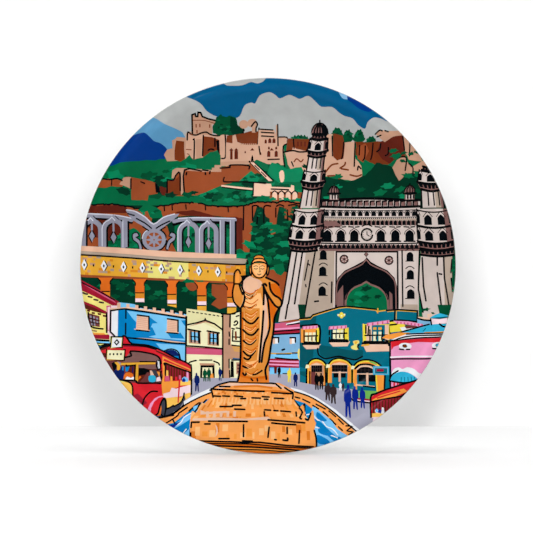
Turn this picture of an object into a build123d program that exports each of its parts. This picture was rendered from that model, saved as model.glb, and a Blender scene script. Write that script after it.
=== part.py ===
from build123d import *
import math
import os

# A hanging souvenir plate in glazed ceramic. Millimetres, +Z up, picture side towards -Y.
# The origin is the middle of the foot ring's seat, the plane that lies against a wall.
# Profiles are drawn as (radius, height), where height is measured from that seat towards the front.

# overall sizes
plate_diameter = 203.2
plate_height = 21.0            # seat of the foot ring to the crest of the lip
wall = 4.5                     # body thickness, the same from the well to the lip

# well, rim and lip
rim_width = 21.7               # crest of the lip inwards to the flat well
well_bend_radius = 14.0        # hollow curve from the well into the rim
lip_setback = 4.4              # crest of the lip to the outermost edge
crest_radius = 5.0             # rounding over the crest
edge_radius = wall / 2         # full rounding of the outermost edge
lip_undercut_radius = 2.0      # hollow curve behind the lip

# foot ring
foot_inset = 17.5              # edge of the flat well inwards to the ring's outer face
foot_width = 4.5
foot_height = 5.0
foot_tip_round = 0.9
foot_root_round = 1.4

# printed coat
coat_thickness = 0.25

# hanging bail and the two holes it swings in
wire_diameter = 1.6
wire_clearance = 0.1           # all round the wire in its holes
hole_depth = 2.4               # seat of the foot ring to the holes' axis
hole_angle = 44.0              # from the top of the ring round to each hole
bail_top_gap = 1.4             # top of the bail to the inside of the ring
bail_inner_gap = 2.6           # from each hole's inner mouth to the arch's first bend
bail_outer_gap = 0.5           # from each hole's outer mouth to the start of the end's bend
bail_end_length = 4.2          # bent-over end, from the holes' axis to its tip
bail_bend_radius = 1.8

slack = 0.01                   # when corners are picked by where they are

# worked out from the sizes above
crest_line = plate_diameter / 2 - lip_setback
well_radius = crest_line - rim_width
well_height = foot_height + wall
foot_outer = well_radius - foot_inset
foot_inner = foot_outer - foot_width
wire_radius = wire_diameter / 2
hole_radius = wire_radius + wire_clearance
foot_middle = (foot_outer + foot_inner) / 2
hole_level = foot_middle * math.cos(math.radians(hole_angle))

bend_centre = Vector(well_radius, well_height + well_bend_radius)
crest_centre = Vector(crest_line, plate_height - crest_radius)


def turned(angle):
    """Unit vector in the profile, turned from straight out of the dish towards the edge."""
    return Vector(math.sin(angle), math.cos(angle))


def rim_slope():
    """Angle of the straight rim, tangent to the well bend on one side and the crest on the other."""
    run = crest_centre - bend_centre
    reach = math.asin((well_bend_radius + crest_radius) / run.length)
    return reach + math.atan2(run.Y, run.X)


def edge_turn():
    """Angle at which the crest's curve hands over to the edge's tighter one."""
    return math.asin((lip_setback - edge_radius) / (crest_radius - edge_radius))


slope = rim_slope()
handover = edge_turn()
edge_centre = crest_centre + turned(handover) * (crest_radius - edge_radius)


def drawn(point):
    """A profile point (radius, height) in the sketch, where the front faces -Y."""
    return (point.X, -point.Y)


def arc(centre, radius, start, end):
    """Arc about a centre, between two angles measured as in turned()."""
    angles = (start, (start + end) / 2, end)
    return ThreePointArc(*[drawn(centre + turned(angle) * radius) for angle in angles])


def face_line(lift):
    """The dish from its middle to the end of the crest's curve, lifted off the ceramic."""
    middle = Vector(0, well_height + lift)
    well_edge = Vector(well_radius, well_height + lift)
    rim_foot = bend_centre - turned(-slope) * (well_bend_radius - lift)
    rim_top = crest_centre + turned(-slope) * (crest_radius + lift)
    return [
        Line(drawn(middle), drawn(well_edge)),
        arc(bend_centre, -(well_bend_radius - lift), 0, -slope),
        Line(drawn(rim_foot), drawn(rim_top)),
        arc(crest_centre, crest_radius + lift, -slope, handover),
    ]


def undercut_centre():
    """Centre of the hollow curve that joins the back of the rim to the rounded edge."""
    outward = Vector(math.cos(slope), math.sin(slope))
    normal = turned(-slope)
    start = crest_centre + normal * crest_radius
    across = (edge_centre - start).dot(normal) + wall + lip_undercut_radius
    along = (edge_centre - start).dot(outward)
    along -= math.sqrt((edge_radius + lip_undercut_radius) ** 2 - across**2)
    return start + outward * along - normal * (wall + lip_undercut_radius)


def back_line():
    """Rounded edge, undercut, back of the rim and underside, ending at the middle of the back."""
    hollow = undercut_centre()
    reach = edge_centre - hollow
    meeting = math.atan2(reach.X, reach.Y)
    rim_top = hollow + turned(-slope) * lip_undercut_radius
    rim_foot = bend_centre - turned(-slope) * (well_bend_radius + wall)
    return [
        arc(edge_centre, edge_radius, handover, meeting + math.pi),
        arc(hollow, lip_undercut_radius, meeting, -slope),
        Line(drawn(rim_top), drawn(rim_foot)),
        arc(bend_centre, -(well_bend_radius + wall), -slope, 0),
        Polyline(
            (well_radius, -foot_height),
            (foot_outer, -foot_height),
            (foot_outer, 0),
            (foot_inner, 0),
            (foot_inner, -foot_height),
            (0, -foot_height),
        ),
        Line((0, -foot_height), (0, -well_height)),
    ]


def make_plate_body():
    """Pressed dish with its foot ring, pierced twice for the bail."""
    with BuildPart() as body:
        with BuildSketch() as section:
            with BuildLine():
                add(face_line(0))
                add(back_line())
            make_face()
            corners = section.vertices()
            corners = corners.filter_by_position(Axis.X, foot_inner - slack, foot_outer + slack)
            levels = corners.group_by(Axis.Y)
            fillet(levels[-1], foot_tip_round)
            fillet(levels[0], foot_root_round)
        revolve(axis=Axis.Y)
        with Locations((0, -hole_depth, hole_level)):
            Cylinder(hole_radius, 2 * foot_outer, rotation=(0, 90, 0), mode=Mode.SUBTRACT)
    return body.part


def make_printed_coat():
    """Thin coat of print and clear glaze that lies on the whole face and over the crest."""
    inner_end = crest_centre + turned(handover) * crest_radius
    outer_end = crest_centre + turned(handover) * (crest_radius + coat_thickness)
    with BuildPart() as coat:
        with BuildSketch():
            with BuildLine():
                add(face_line(0))
                add(face_line(coat_thickness))
                Line(drawn(inner_end), drawn(outer_end))
                Line((0, -well_height), (0, -well_height - coat_thickness))
            make_face()
        revolve(axis=Axis.Y)
    return coat.part


def ring_half_width(radius, level):
    """Half the width of a circle about the origin at a level."""
    return math.sqrt(radius**2 - level**2)


def make_hanging_bail():
    """Wire arch whose ends pass outwards through the foot ring and are bent over."""
    first_bend = ring_half_width(foot_inner, hole_level) - bail_inner_gap
    end_bend = ring_half_width(foot_outer, hole_level - hole_radius) + bail_outer_gap + bail_bend_radius
    arch_top = foot_inner - bail_top_gap - wire_radius
    end_tip = hole_level + bail_end_length
    half = Polyline((first_bend, hole_level), (end_bend, hole_level), (end_bend, end_tip))
    arch = ThreePointArc((-first_bend, hole_level), (0, arch_top), (first_bend, hole_level))
    route = Wire([*half.edges(), *arch.edges(), *half.mirror(Plane.YZ).edges()])
    corners = route.vertices()
    bends = corners.filter_by_position(Axis.Y, hole_level - slack, hole_level + slack)
    route = route.fillet_2d(bail_bend_radius, bends)
    route = Pos(0, -hole_depth, 0) * Rot(90, 0, 0) * route
    section = Plane(origin=route @ 0, z_dir=route % 0) * Circle(wire_radius)
    return sweep(section, path=route)


def main():
    os.makedirs("parts", exist_ok=True)
    pieces = {
        "plate_body": make_plate_body(),
        "printed_coat": make_printed_coat(),
        "hanging_bail": make_hanging_bail(),
    }
    for name, piece in pieces.items():
        export_step(piece, os.path.join("parts", f"{name}.step"))


main()
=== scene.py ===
import math
import random
import time
import bpy
import numpy as np
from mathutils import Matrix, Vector
from mathutils.geometry import delaunay_2d_cdt


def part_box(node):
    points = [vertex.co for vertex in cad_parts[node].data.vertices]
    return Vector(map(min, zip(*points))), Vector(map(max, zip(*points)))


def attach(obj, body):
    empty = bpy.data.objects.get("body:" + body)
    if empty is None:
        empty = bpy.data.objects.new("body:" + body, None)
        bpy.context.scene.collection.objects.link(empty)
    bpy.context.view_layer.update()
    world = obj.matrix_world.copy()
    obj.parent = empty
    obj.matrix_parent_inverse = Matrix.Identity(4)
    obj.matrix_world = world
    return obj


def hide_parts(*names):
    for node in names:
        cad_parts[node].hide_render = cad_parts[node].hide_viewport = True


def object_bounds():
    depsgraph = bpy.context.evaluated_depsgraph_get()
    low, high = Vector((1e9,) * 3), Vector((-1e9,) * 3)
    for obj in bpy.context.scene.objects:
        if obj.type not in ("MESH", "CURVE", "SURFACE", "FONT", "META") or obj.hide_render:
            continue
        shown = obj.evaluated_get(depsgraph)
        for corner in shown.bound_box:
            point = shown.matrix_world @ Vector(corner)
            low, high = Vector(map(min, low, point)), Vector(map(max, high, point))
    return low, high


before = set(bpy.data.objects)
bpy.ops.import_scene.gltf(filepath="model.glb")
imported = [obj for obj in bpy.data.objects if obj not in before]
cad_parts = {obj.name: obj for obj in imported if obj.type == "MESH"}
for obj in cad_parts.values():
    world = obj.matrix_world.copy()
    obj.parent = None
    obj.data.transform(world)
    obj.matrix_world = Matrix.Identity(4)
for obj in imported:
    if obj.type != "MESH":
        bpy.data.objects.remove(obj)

cadBox = [list(corner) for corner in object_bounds()]
started = time.time()


def report(stage):
    print(f"{stage}, {time.time() - started:.1f} s")


def deselectAll():
    if bpy.context.object and bpy.context.object.mode != "OBJECT":
        bpy.ops.object.mode_set(mode="OBJECT")
    bpy.ops.object.select_all(action="DESELECT")


# the inks of the picture, as red, green and blue out of 255
inks = {
    "sky": (0, 88, 134), "cloud": (174, 177, 176), "hillPale": (88, 148, 188), "hillDeep": (0, 54, 132),
    "paleBlue": (126, 178, 216), "leafNight": (0, 52, 34), "leafDark": (0, 76, 46), "leaf": (0, 102, 62),
    "leafBright": (0, 128, 84), "leafLime": (112, 182, 86), "brick": (152, 74, 38),
    "brown": (118, 50, 20), "maroon": (94, 32, 20), "sandDark": (190, 146, 120), "sand": (206, 162, 136),
    "sandPale": (236, 194, 168), "signGrey": (142, 142, 158), "signPale": (206, 208, 220),
    "ledge": (230, 184, 156), "taupe": (168, 150, 132), "gold": (228, 168, 52), "straw": (232, 220, 122),
    "goldDeep": (214, 134, 34), "pillar": (222, 108, 30), "stone": (209, 194, 187),
    "stoneShade": (178, 160, 144), "mauve": (128, 92, 88), "night": (4, 9, 14), "black": (5, 8, 11),
    "white": (238, 240, 244), "cream": (228, 222, 168), "creamPale": (240, 236, 192),
    "yellow": (238, 216, 62), "lemon": (240, 226, 128), "pinkRoof": (208, 88, 122),
    "crimson": (158, 24, 48), "rose": (236, 154, 196), "blush": (246, 218, 226),
    "wallBlue": (0, 128, 194), "wallPale": (120, 198, 244), "shutter": (234, 186, 160),
    "navy": (8, 30, 96), "royal": (12, 38, 140), "teal": (0, 108, 130), "tealDark": (0, 84, 96),
    "aqua": (46, 176, 214), "tan": (196, 146, 114), "umber": (54, 40, 42), "busRed": (216, 34, 46),
    "busOrange": (244, 154, 60), "busYellow": (252, 198, 90), "busInside": (112, 56, 56),
    "road": (168, 168, 186), "tyre": (60, 62, 74), "water": (0, 124, 196), "waterPale": (124, 198, 248),
    "amber": (250, 164, 84), "amberPale": (252, 190, 124), "amberDeep": (226, 124, 36),
    "robe": (222, 140, 54), "robeDark": (212, 100, 6), "skin": (236, 186, 152),
}

picture = []                                        # (ink, outline, clip) of each shape, the last on top


def at(*numbers):                                   # points from x and z, given in turn
    return list(zip(numbers[::2], numbers[1::2]))


def around(x, z, *numbers):                         # the same, counted from (x, z)
    return [(x + dx, z + dz) for dx, dz in at(*numbers)]


def curve(points, steps=4, closed=True):            # a smooth line through the points
    count = len(points)
    spans = count if closed else count - 1
    pick = (lambda i: points[i % count]) if closed else (lambda i: points[min(max(i, 0), count - 1)])
    out = []
    for i in range(spans):
        p0, p1, p2, p3 = (pick(i + k) for k in (-1, 0, 1, 2))
        for s in range(steps):
            t = s / steps
            weights = (-t + 2 * t * t - t ** 3, 2 - 5 * t * t + 3 * t ** 3, t + 4 * t * t - 3 * t ** 3,
                t ** 3 - t * t)
            out.append(tuple(sum(w * p[a] for w, p in zip(weights, (p0, p1, p2, p3))) / 2 for a in (0, 1)))
    return out if closed else out + [points[-1]]


def wobble(points, size, pieces=3, seed=1, closed=True):   # breaks straight runs up as a hand-cut edge
    rng = random.Random(seed)
    out = []
    ends = points[1:] + points[:1] if closed else points[1:]
    for (x0, z0), (x1, z1) in zip(points, ends):
        out.append((x0, z0))
        for k in range(1, pieces):
            t = (k + rng.uniform(-0.3, 0.3)) / pieces
            out.append((x0 + (x1 - x0) * t + rng.uniform(-size, size),
                z0 + (z1 - z0) * t + rng.uniform(-size, size)))
    return out if closed else out + [points[-1]]


def fill(ink, points, soft=0, clip=None):           # soft is the number of steps between two points
    picture.append((ink, curve(points, soft) if soft else list(points), clip))


def band(points, width, closed=False):              # outline of a pen line along the points
    count = len(points)
    left, right = [], []
    for i in range(count):
        before = points[i - 1] if i or closed else points[i]
        after = points[(i + 1) % count] if i < count - 1 or closed else points[i]
        a = math.atan2(points[i][1] - before[1], points[i][0] - before[0]) if before != points[i] else None
        b = math.atan2(after[1] - points[i][1], after[0] - points[i][0]) if after != points[i] else a
        a = b if a is None else a
        turn = (b - a + math.pi) % (2 * math.pi) - math.pi
        reach = width / 2 / max(math.cos(turn / 2), 0.5)
        way = a + turn / 2 + math.pi / 2
        left.append((points[i][0] + reach * math.cos(way), points[i][1] + reach * math.sin(way)))
        right.append((points[i][0] - reach * math.cos(way), points[i][1] - reach * math.sin(way)))
    if closed:
        return left + left[:1] + right[:1] + right[:0:-1]
    startWay = math.atan2(points[1][1] - points[0][1], points[1][0] - points[0][0])
    endWay = math.atan2(points[-1][1] - points[-2][1], points[-1][0] - points[-2][0])
    nib = lambda p, way, s: [(p[0] + width / 2 * math.cos(way + t), p[1] + width / 2 * math.sin(way + t))
        for t in s]
    return left + nib(points[-1], endWay, (0.9, 0, -0.9)) + right[::-1] + nib(points[0], startWay + math.pi,
        (0.9, 0, -0.9))


def pen(points, width=0.85, ink="black", soft=3, closed=False, clip=None):
    points = curve(points, soft, closed) if soft else points
    picture.append((ink, band(points, width, closed), clip))


def line(points, width=0.85, ink="black"):          # a pen line with straight runs
    pen(points, width, ink, 0)


def lines(width, *strokes, ink="black"):
    for points in strokes:
        line(points, width, ink)


def dashes(width, ends, ink="black"):               # short strokes, each between two of the ends in turn
    for k in range(0, len(ends), 2):
        line(ends[k:k + 2], width, ink)


def pens(width, *strokes, ink="black", soft=3):
    for points in strokes:
        pen(points, width, ink, soft)


def fills(ink, *outlines, soft=0):
    for points in outlines:
        fill(ink, points, soft)


def drawn(ink, points, width=0.85, soft=0, clip=None):     # a filled shape with a pen line round it
    fill(ink, points, soft, clip)
    pen(points, width, soft=soft, closed=True, clip=clip)


def block(ink, x0, z0, x1, z1, width=0):
    points = [(x0, z0), (x1, z0), (x1, z1), (x0, z1)]
    fill(ink, points)
    if width:
        pen(points, width, soft=0, closed=True)


def oval(x, z, w, h, steps=12):
    return [(x + w / 2 * math.cos(2 * math.pi * k / steps), z + h / 2 * math.sin(2 * math.pi * k / steps))
        for k in range(steps)]


def arch(x, z, w, h, tip=0.0, steps=5):             # opening standing on (x, z), its crown raised by tip
    rise = min(w / 2, h)
    half = [(math.cos(math.pi / 2 * k / steps), math.sin(math.pi / 2 * k / steps))
        for k in range(steps + 1)]
    right = [(x + c * w / 2, z + h - rise + s * rise) for c, s in half[:-1]]
    left = [(2 * x - px, pz) for px, pz in reversed(right)]
    return [(x + w / 2, z)] + right + [(x, z + h + tip)] + left + [(x - w / 2, z)]


def between(p, q, t):
    return (p[0] + (q[0] - p[0]) * t, p[1] + (q[1] - p[1]) * t)


def quad(corners):                                  # maps (0..1, 0..1) into a slanted four-cornered face
    lowLeft, lowRight, highRight, highLeft = corners
    return lambda u, v: between(between(lowLeft, lowRight, u), between(highLeft, highRight, u), v)


def onFace(face, points):
    return [face(u, v) for u, v in points]


def panel(u0, v0, u1, v1):
    return [(u0, v0), (u1, v0), (u1, v1), (u0, v1)]


def tufts(inkNames, x0, z0, x1, z1, count, size, seed, clip=None, flat=0.5):     # ragged dabs of leaves
    rng = random.Random(seed)
    for k in range(count):
        x, z = rng.uniform(x0, x1), rng.uniform(z0, z1)
        big = size * rng.uniform(0.5, 1.3)
        n = rng.randint(9, 13)
        tilt = rng.uniform(-0.35, 0.35)
        dab = []
        for i in range(n):
            way = 2 * math.pi * i / n
            reach = big * (rng.uniform(0.5, 0.8) if i % 2 else rng.uniform(0.8, 1.15))
            dx, dz = reach * math.cos(way), reach * flat * math.sin(way)
            dab.append((x + dx * math.cos(tilt) - dz * math.sin(tilt),
                z + dx * math.sin(tilt) + dz * math.cos(tilt)))
        fill(inkNames[k % len(inkNames)], dab, 2, clip)


def bushLine(ink, points, bump, seed, base=None):   # scalloped edge along the points
    rng = random.Random(seed)
    edge = []
    for (x0, z0), (x1, z1) in zip(points, points[1:]):
        count = max(1, round(math.hypot(x1 - x0, z1 - z0) / bump))
        for k in range(count):
            for t, lift in ((0.15, 0.1), (0.5, 0.55), (0.85, 0.1)):
                s = (k + t) / count
                edge.append((x0 + (x1 - x0) * s, z0 + (z1 - z0) * s + bump * lift * rng.uniform(0.6, 1.4)))
    fill(ink, edge + (base or []), 2)


# sky and hills
def drawSky():
    fill("sky", oval(0, 0, 212, 212, 48))
    fills("cloud", at(-104,92, -60,96, -43.5,90.4, -36,87, -32.5,83, -27,80.2, -20,79.4, -15.2,80.6,
        -12.6,86, -9,87.6, -6.8,87.2, -4.4,91.2, 0.6,92.9, 4,91.4, 6.4,89.7, 11,91.5, 14.4,90.4, 17,89.4,
        21.4,90.9, 25,88.2, 28.4,85.3, 34,85.1, 38,82, 41,80.3, 45,79, 48,75.6, 51.6,73.6, 52.8,76.8,
        56,79.3, 60,78.8, 66,76.5, 92,70, 96,40, -104,40), at(-23.4,97.4, -18.6,96.2, -13.4,96.5, -9,98.2,
        -5.4,97.4, -1.6,99.6, -1,106, -26,106), soft=3)
    fill("paleBlue", at(36.6,97, 37.8,92.4, 39.4,89.7, 41.4,89, 43.6,89.8, 46,96), 3)
    fill("hillDeep", at(42,90, 44.4,87.2, 48.4,84, 53,82.4, 55.6,83.6, 60,90, 46,98), 3)
    fill("hillPale", at(-92,72, -71,71.4, -65,78.6, -60.4,79.2, -55,76, -48.6,73.4, -44.6,70, -44.6,58,
        -92,58), 3)
    fill("hillDeep", at(-104,50, -100,66, -74,69.6, -69.6,70.6, -66,71.4, -63.4,69.8, -60.6,67, -57.4,66,
        -53.6,62.4, -52,54), 3)


def drawHill():
    fill("leaf", wobble(at(-106,49, -84,53.6, -76,55.8, -60,57, -52,58.6, -42,61, -30,64, 0,68, 34,68,
        60,66, 76,66, 84,56, 106,40, 106,-34, -106,-34), 0.5, 4, 3))
    for x, z, w, h in ((17, 68.6, 14, 3.4), (37, 70.6, 8, 7.4), (42.6, 70, 6.4, 6), (48.6, 69.6, 6.6, 7),
            (55, 67, 7, 4.6)):
        bushLine("leafDark", around(x, z, -w / 2, -2, -w / 4, h / 3, 0, h / 2, w / 4, h / 3, w / 2, -2),
            1.6, x, [(x, z - 4)])
        tufts(("leaf", "leafNight"), x - w / 3, z - 1, x + w / 3, z + h / 4, 4, 1.4, x)


def drawFort():
    # rock and curtain walls, left to right
    fill("sandDark", wobble(at(-55.6,60, -54,62.6, -51,63.4, -51.2,67.6, -48.6,69.4, -44,69.2, -42,57,
        -54,56.6), 0.3, 2, 5))
    fill("brown", wobble(at(-49,67.6, -44.8,67.2, -44.4,58, -47,56.4, -50,57.4, -50,62), 0.25, 2, 6))
    fill("sand", at(-43.8,71.4, -42,72.4, -33,72.6, -29.4,70.8, -25,71.4, -24,73, -22.2,71, -22,54, -41,57,
        -44,60))
    fill("brown", at(-34.4,70, -30,69.6, -26,68, -25.6,57, -34.8,57))
    fill("night", at(-27.8,67.6, -26.2,68, -26,60, -27,60.6))
    fill("sandDark", at(-38.6,68.4, -35.6,68.6, -35.6,58, -38.4,58))
    tower = at(-40.4,71, -40.4,81, -38.7,81.6, -38.5,80.2, -37.4,80.2, -37.2,82.3, -35.8,82.2, -35,80.2,
        -31.6,79, -27.6,78.2, -28,76.6, -30,76.2, -29.6,70.4)
    fill("sandDark", tower)
    line(tower[:10], 0.9)
    pen(at(-40,78.2, -34,78.2, -28.4,76.8), 0.4, "brown")
    for x, z in ((-38.4, 75.4), (-36.4, 75.6), (-31.2, 75.4), (-38, 72.4)):
        block("brown", x - 0.25, z - 0.9, x + 0.35, z + 0.9)
    pens(0.8, at(-43.2,68, -42.8,72, -41,71, -38.4,70.6, -36,71.6, -33,72.2, -30.4,70.8, -26,70.4,
        -25,72.6), at(-40,68.2, -39.4,67.6, -39.6,58), at(-34.6,70.4, -35,59.6), at(-28.4,69, -28.4,64.6),
        at(-23,71.6, -22.6,66, -22.8,58.8, -24.8,58.2), at(-32,62.6, -30.4,63.2, -29,62.8))
    for x, z, w in ((-42.4, 63, 2.6), (-42.8, 60.6, 1), (-41, 71, 1.2)):
        line(around(x, z, -w / 2, 0, w / 2, -0.2), 0.5, "brown")
    fill("leaf", wobble(at(-46,57, -42,60.2, -39.8,57.6, -35,58.6, -31,61.6, -27,62.6, -25.4,60, -25.4,53,
        -46,53), 0.3, 2, 8))

    # trees between the watch tower and the palace
    crown = at(-29.7,74.6, -28.4,77, -27.6,80, -25.1,81.7, -23,80.4, -21.3,80.7, -19,80.4, -17.1,79.6,
        -16.3,76.3, -14.4,75, -12.9,73.3, -12.5,70.4, -13.4,67.4, -16.3,67.9, -18.8,70.8, -22.2,70.8,
        -26.4,70.4, -29.3,71.6)
    fill("leafDark", wobble(crown, 0.4, 2, 7), 2)
    fill("leafNight", wobble(at(-20,80.4, -17.4,79.4, -16.4,76.3, -13,73.2, -12.6,70.4, -13.6,67.6,
        -16.3,68, -19,71, -20.4,74), 0.4, 2, 8), 2)
    tufts(("leaf", "leafNight", "leafDark"), -27, 72, -17, 79, 12, 1.8, 10)
    pen(wobble(at(-14,75, -12.8,73.2, -13.4,71.4, -12.4,70.2, -13.6,67.6, -16,67.4), 0.2, 2, 6, False), 0.8)
    fill("leafDark", at(-21,71, -19,71.4, -17,66.4, -16.6,64.6, -20.4,64.8, -21.6,67), 2)

    # palace in the middle
    fill("brown", wobble(at(-22,70.4, -13,71.6, -9.6,72.8, -5,72.8, -5,62, -22,62), 0.3, 3, 9))
    for x, z, w in ((-13, 76.4, 5), (-8.4, 77, 5.4)):
        fill("sandDark", oval(x, z, w, 4.6, 10), 2)
    block("sandDark", -8.6, 72, -6.2, 76)
    pens(0.8, at(-8.8,75.4, -6.8,77.8, -5.6,76.4, -6.4,74.4, -6.4,72.4), at(-4.8,74.4, -5,70, -5.4,66))
    palace = at(-22.4,66.8, -19,66.2, -19,70.4, -17.4,71, -16.4,67, -12,65.4, -5.4,65.6, -5,73.4, 3.4,73.4,
        4.6,70, 10,69.6, 10,66, 8.4,65.4, 8.8,57.4, 9.2,54.6, 1,54.6, -6,57.6, -10,55, -25.4,54, -25.4,57.6,
        -22.6,58)
    fill("sand", palace)
    fill("sandDark", at(-25.2,54.2, -10,55, -9.4,57, -25.2,56.4))
    for x, z, w, h in ((-19.6, 57.6, 1.3, 5.4), (-17, 57.8, 1.9, 4.8), (1, 66.4, 1.7, 2.4),
            (3.2, 66.4, 1.7, 2.4), (-1.2, 66.2, 1.2, 2), (0.4, 59, 1.7, 3.2), (4.4, 59, 1.7, 3.2),
            (0.5, 63, 1, 1.4), (4.4, 63, 1.1, 1.4), (-4, 60, 0.9, 1.4), (-12.2, 61, 0.8, 1)):
        fill("maroon", arch(x, z, w, h, 0.3, 3))
    for x in (-19.6, -17, 2, -8.4):
        fill("maroon", [(x - 1.2, 62.4), (x, 63.8), (x + 1.2, 62.4)])
    pen(at(-8.8,56.6, -8.4,59.4, -8,56.6), 0.7)
    pens(0.75, at(-4,73.8, 2.6,73.4), at(-3.6,72.2, 3,71.8), at(-3.4,70.2, 3,69.8),
        at(-4.8,64.6, -4.2,60.6), at(5.2,76.4, 5.4,65), at(6,69.6, 10.2,69.4, 10.4,66.2, 8.2,64.6, 8.4,58,
        9,53.8), at(0,57.6, 6,57.8))
    block("sandDark", 4.2, 70, 4.9, 76)
    for k in range(8):
        block("sandDark", -14.6 + k * 1.1, 65.3, -14 + k * 1.1, 66.2)
    # outworks towards the gate
    fill("brown", at(10.4,69, 14,68.6, 24,68.4, 24,60, 9.6,60))
    fill("sand", wobble(at(9,61.6, 13,62.4, 13.6,64.4, 15,63.4, 19,62.4, 25,62.4, 25,50, 12,52.6, 10.6,55),
        0.3, 2, 12))
    pen(at(8.8,61.6, 13.4,62.4, 17,61.6, 22,62))
    for x in (15.6, 17.4, 19.4, 21.4):
        block("maroon", x, 64.6, x + 0.9, 67.2)
    pen(at(13.6,68.4, 14,63.6), 0.7)
    pen(at(14,56.4, 15.4,58, 17.6,56.4, 18.8,57.6), 0.7, "brown")
    pen(at(12.6,56.4, 13.6,54), 0.7)

    # the fort's right side, behind and beyond the gate
    fill("sand", wobble(at(30,71, 34.6,71.2, 34.8,62, 39,60, 40.8,66.6, 47,67, 46.8,58, 50,54, 50.4,48,
        46,46, 40.6,46.8, 36,48.6, 30,48.6), 0.3, 2, 13))
    fills("brown", wobble(at(35,71.4, 40,70.2, 41.2,66, 40.4,58, 37,57, 35,59), 0.25, 2, 14),
        wobble(at(47,66.8, 56,66.6, 61,67, 66,69, 72,70.4, 73,58, 68,58, 64,54.6, 57,55, 53,57, 47,60), 0.3,
        3, 15))
    fill("maroon", wobble(at(60,66.8, 66,69, 71.4,70.4, 72.6,60, 69,58.4, 65,55, 61,57.6, 58,62), 0.3, 2,
        16))
    fill("brick", wobble(at(48,64, 52,66, 54,62, 51,56, 48,58), 0.3, 2, 17))
    fills("sandDark", wobble(at(57,70.6, 59.4,72.8, 64,72.2, 70,72.6, 74.4,68.4, 80,64, 82,56, 74.6,57,
        73,60, 71.4,70, 66,69, 62,66.4, 58.6,69.4), 0.35, 2, 18), wobble(at(65.2,51.4, 68.6,57, 72.6,58.6,
        76,53, 82.8,56.8, 86,54, 80,49.6, 74.6,50, 72.4,45.6, 69,45.4), 0.3, 2, 19))
    pens(0.75, at(57,70.6, 59.2,72.6, 60.6,72.2), at(62,72.4, 63.8,71.8), at(58,69.2, 60,70),
        at(34.4,70, 34.6,59.6), at(40.6,66.8, 40,60, 39.4,58), at(46.6,66.6, 46.2,54), at(49,65, 48.8,60),
        at(52,64.6, 51.8,59, 50.8,57), at(56,66, 55.6,60, 55,57.6), at(60,65.6, 59.6,62.8, 58,61.6),
        at(64,63.6, 64,60.4, 62.6,59.4), at(71.6,69.4, 72.4,62), at(70,58.4, 73.4,58, 73,51.4),
        at(75.4,67, 75,59), at(74.8,55, 76.8,53, 77,50))
    pens(0.9, at(31,51, 34,54.6, 37.4,55.4), at(38.6,53, 41,54.6, 41.4,56),
        at(32,48.8, 36.6,48.8, 38.4,46.6), at(44,49.4, 47.6,48.6, 50,49.4), at(39.4,52.6, 43,52),
        ink="brown")
    pen(at(48,52, 48.4,54, 49.8,52.6), 0.8)


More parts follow.
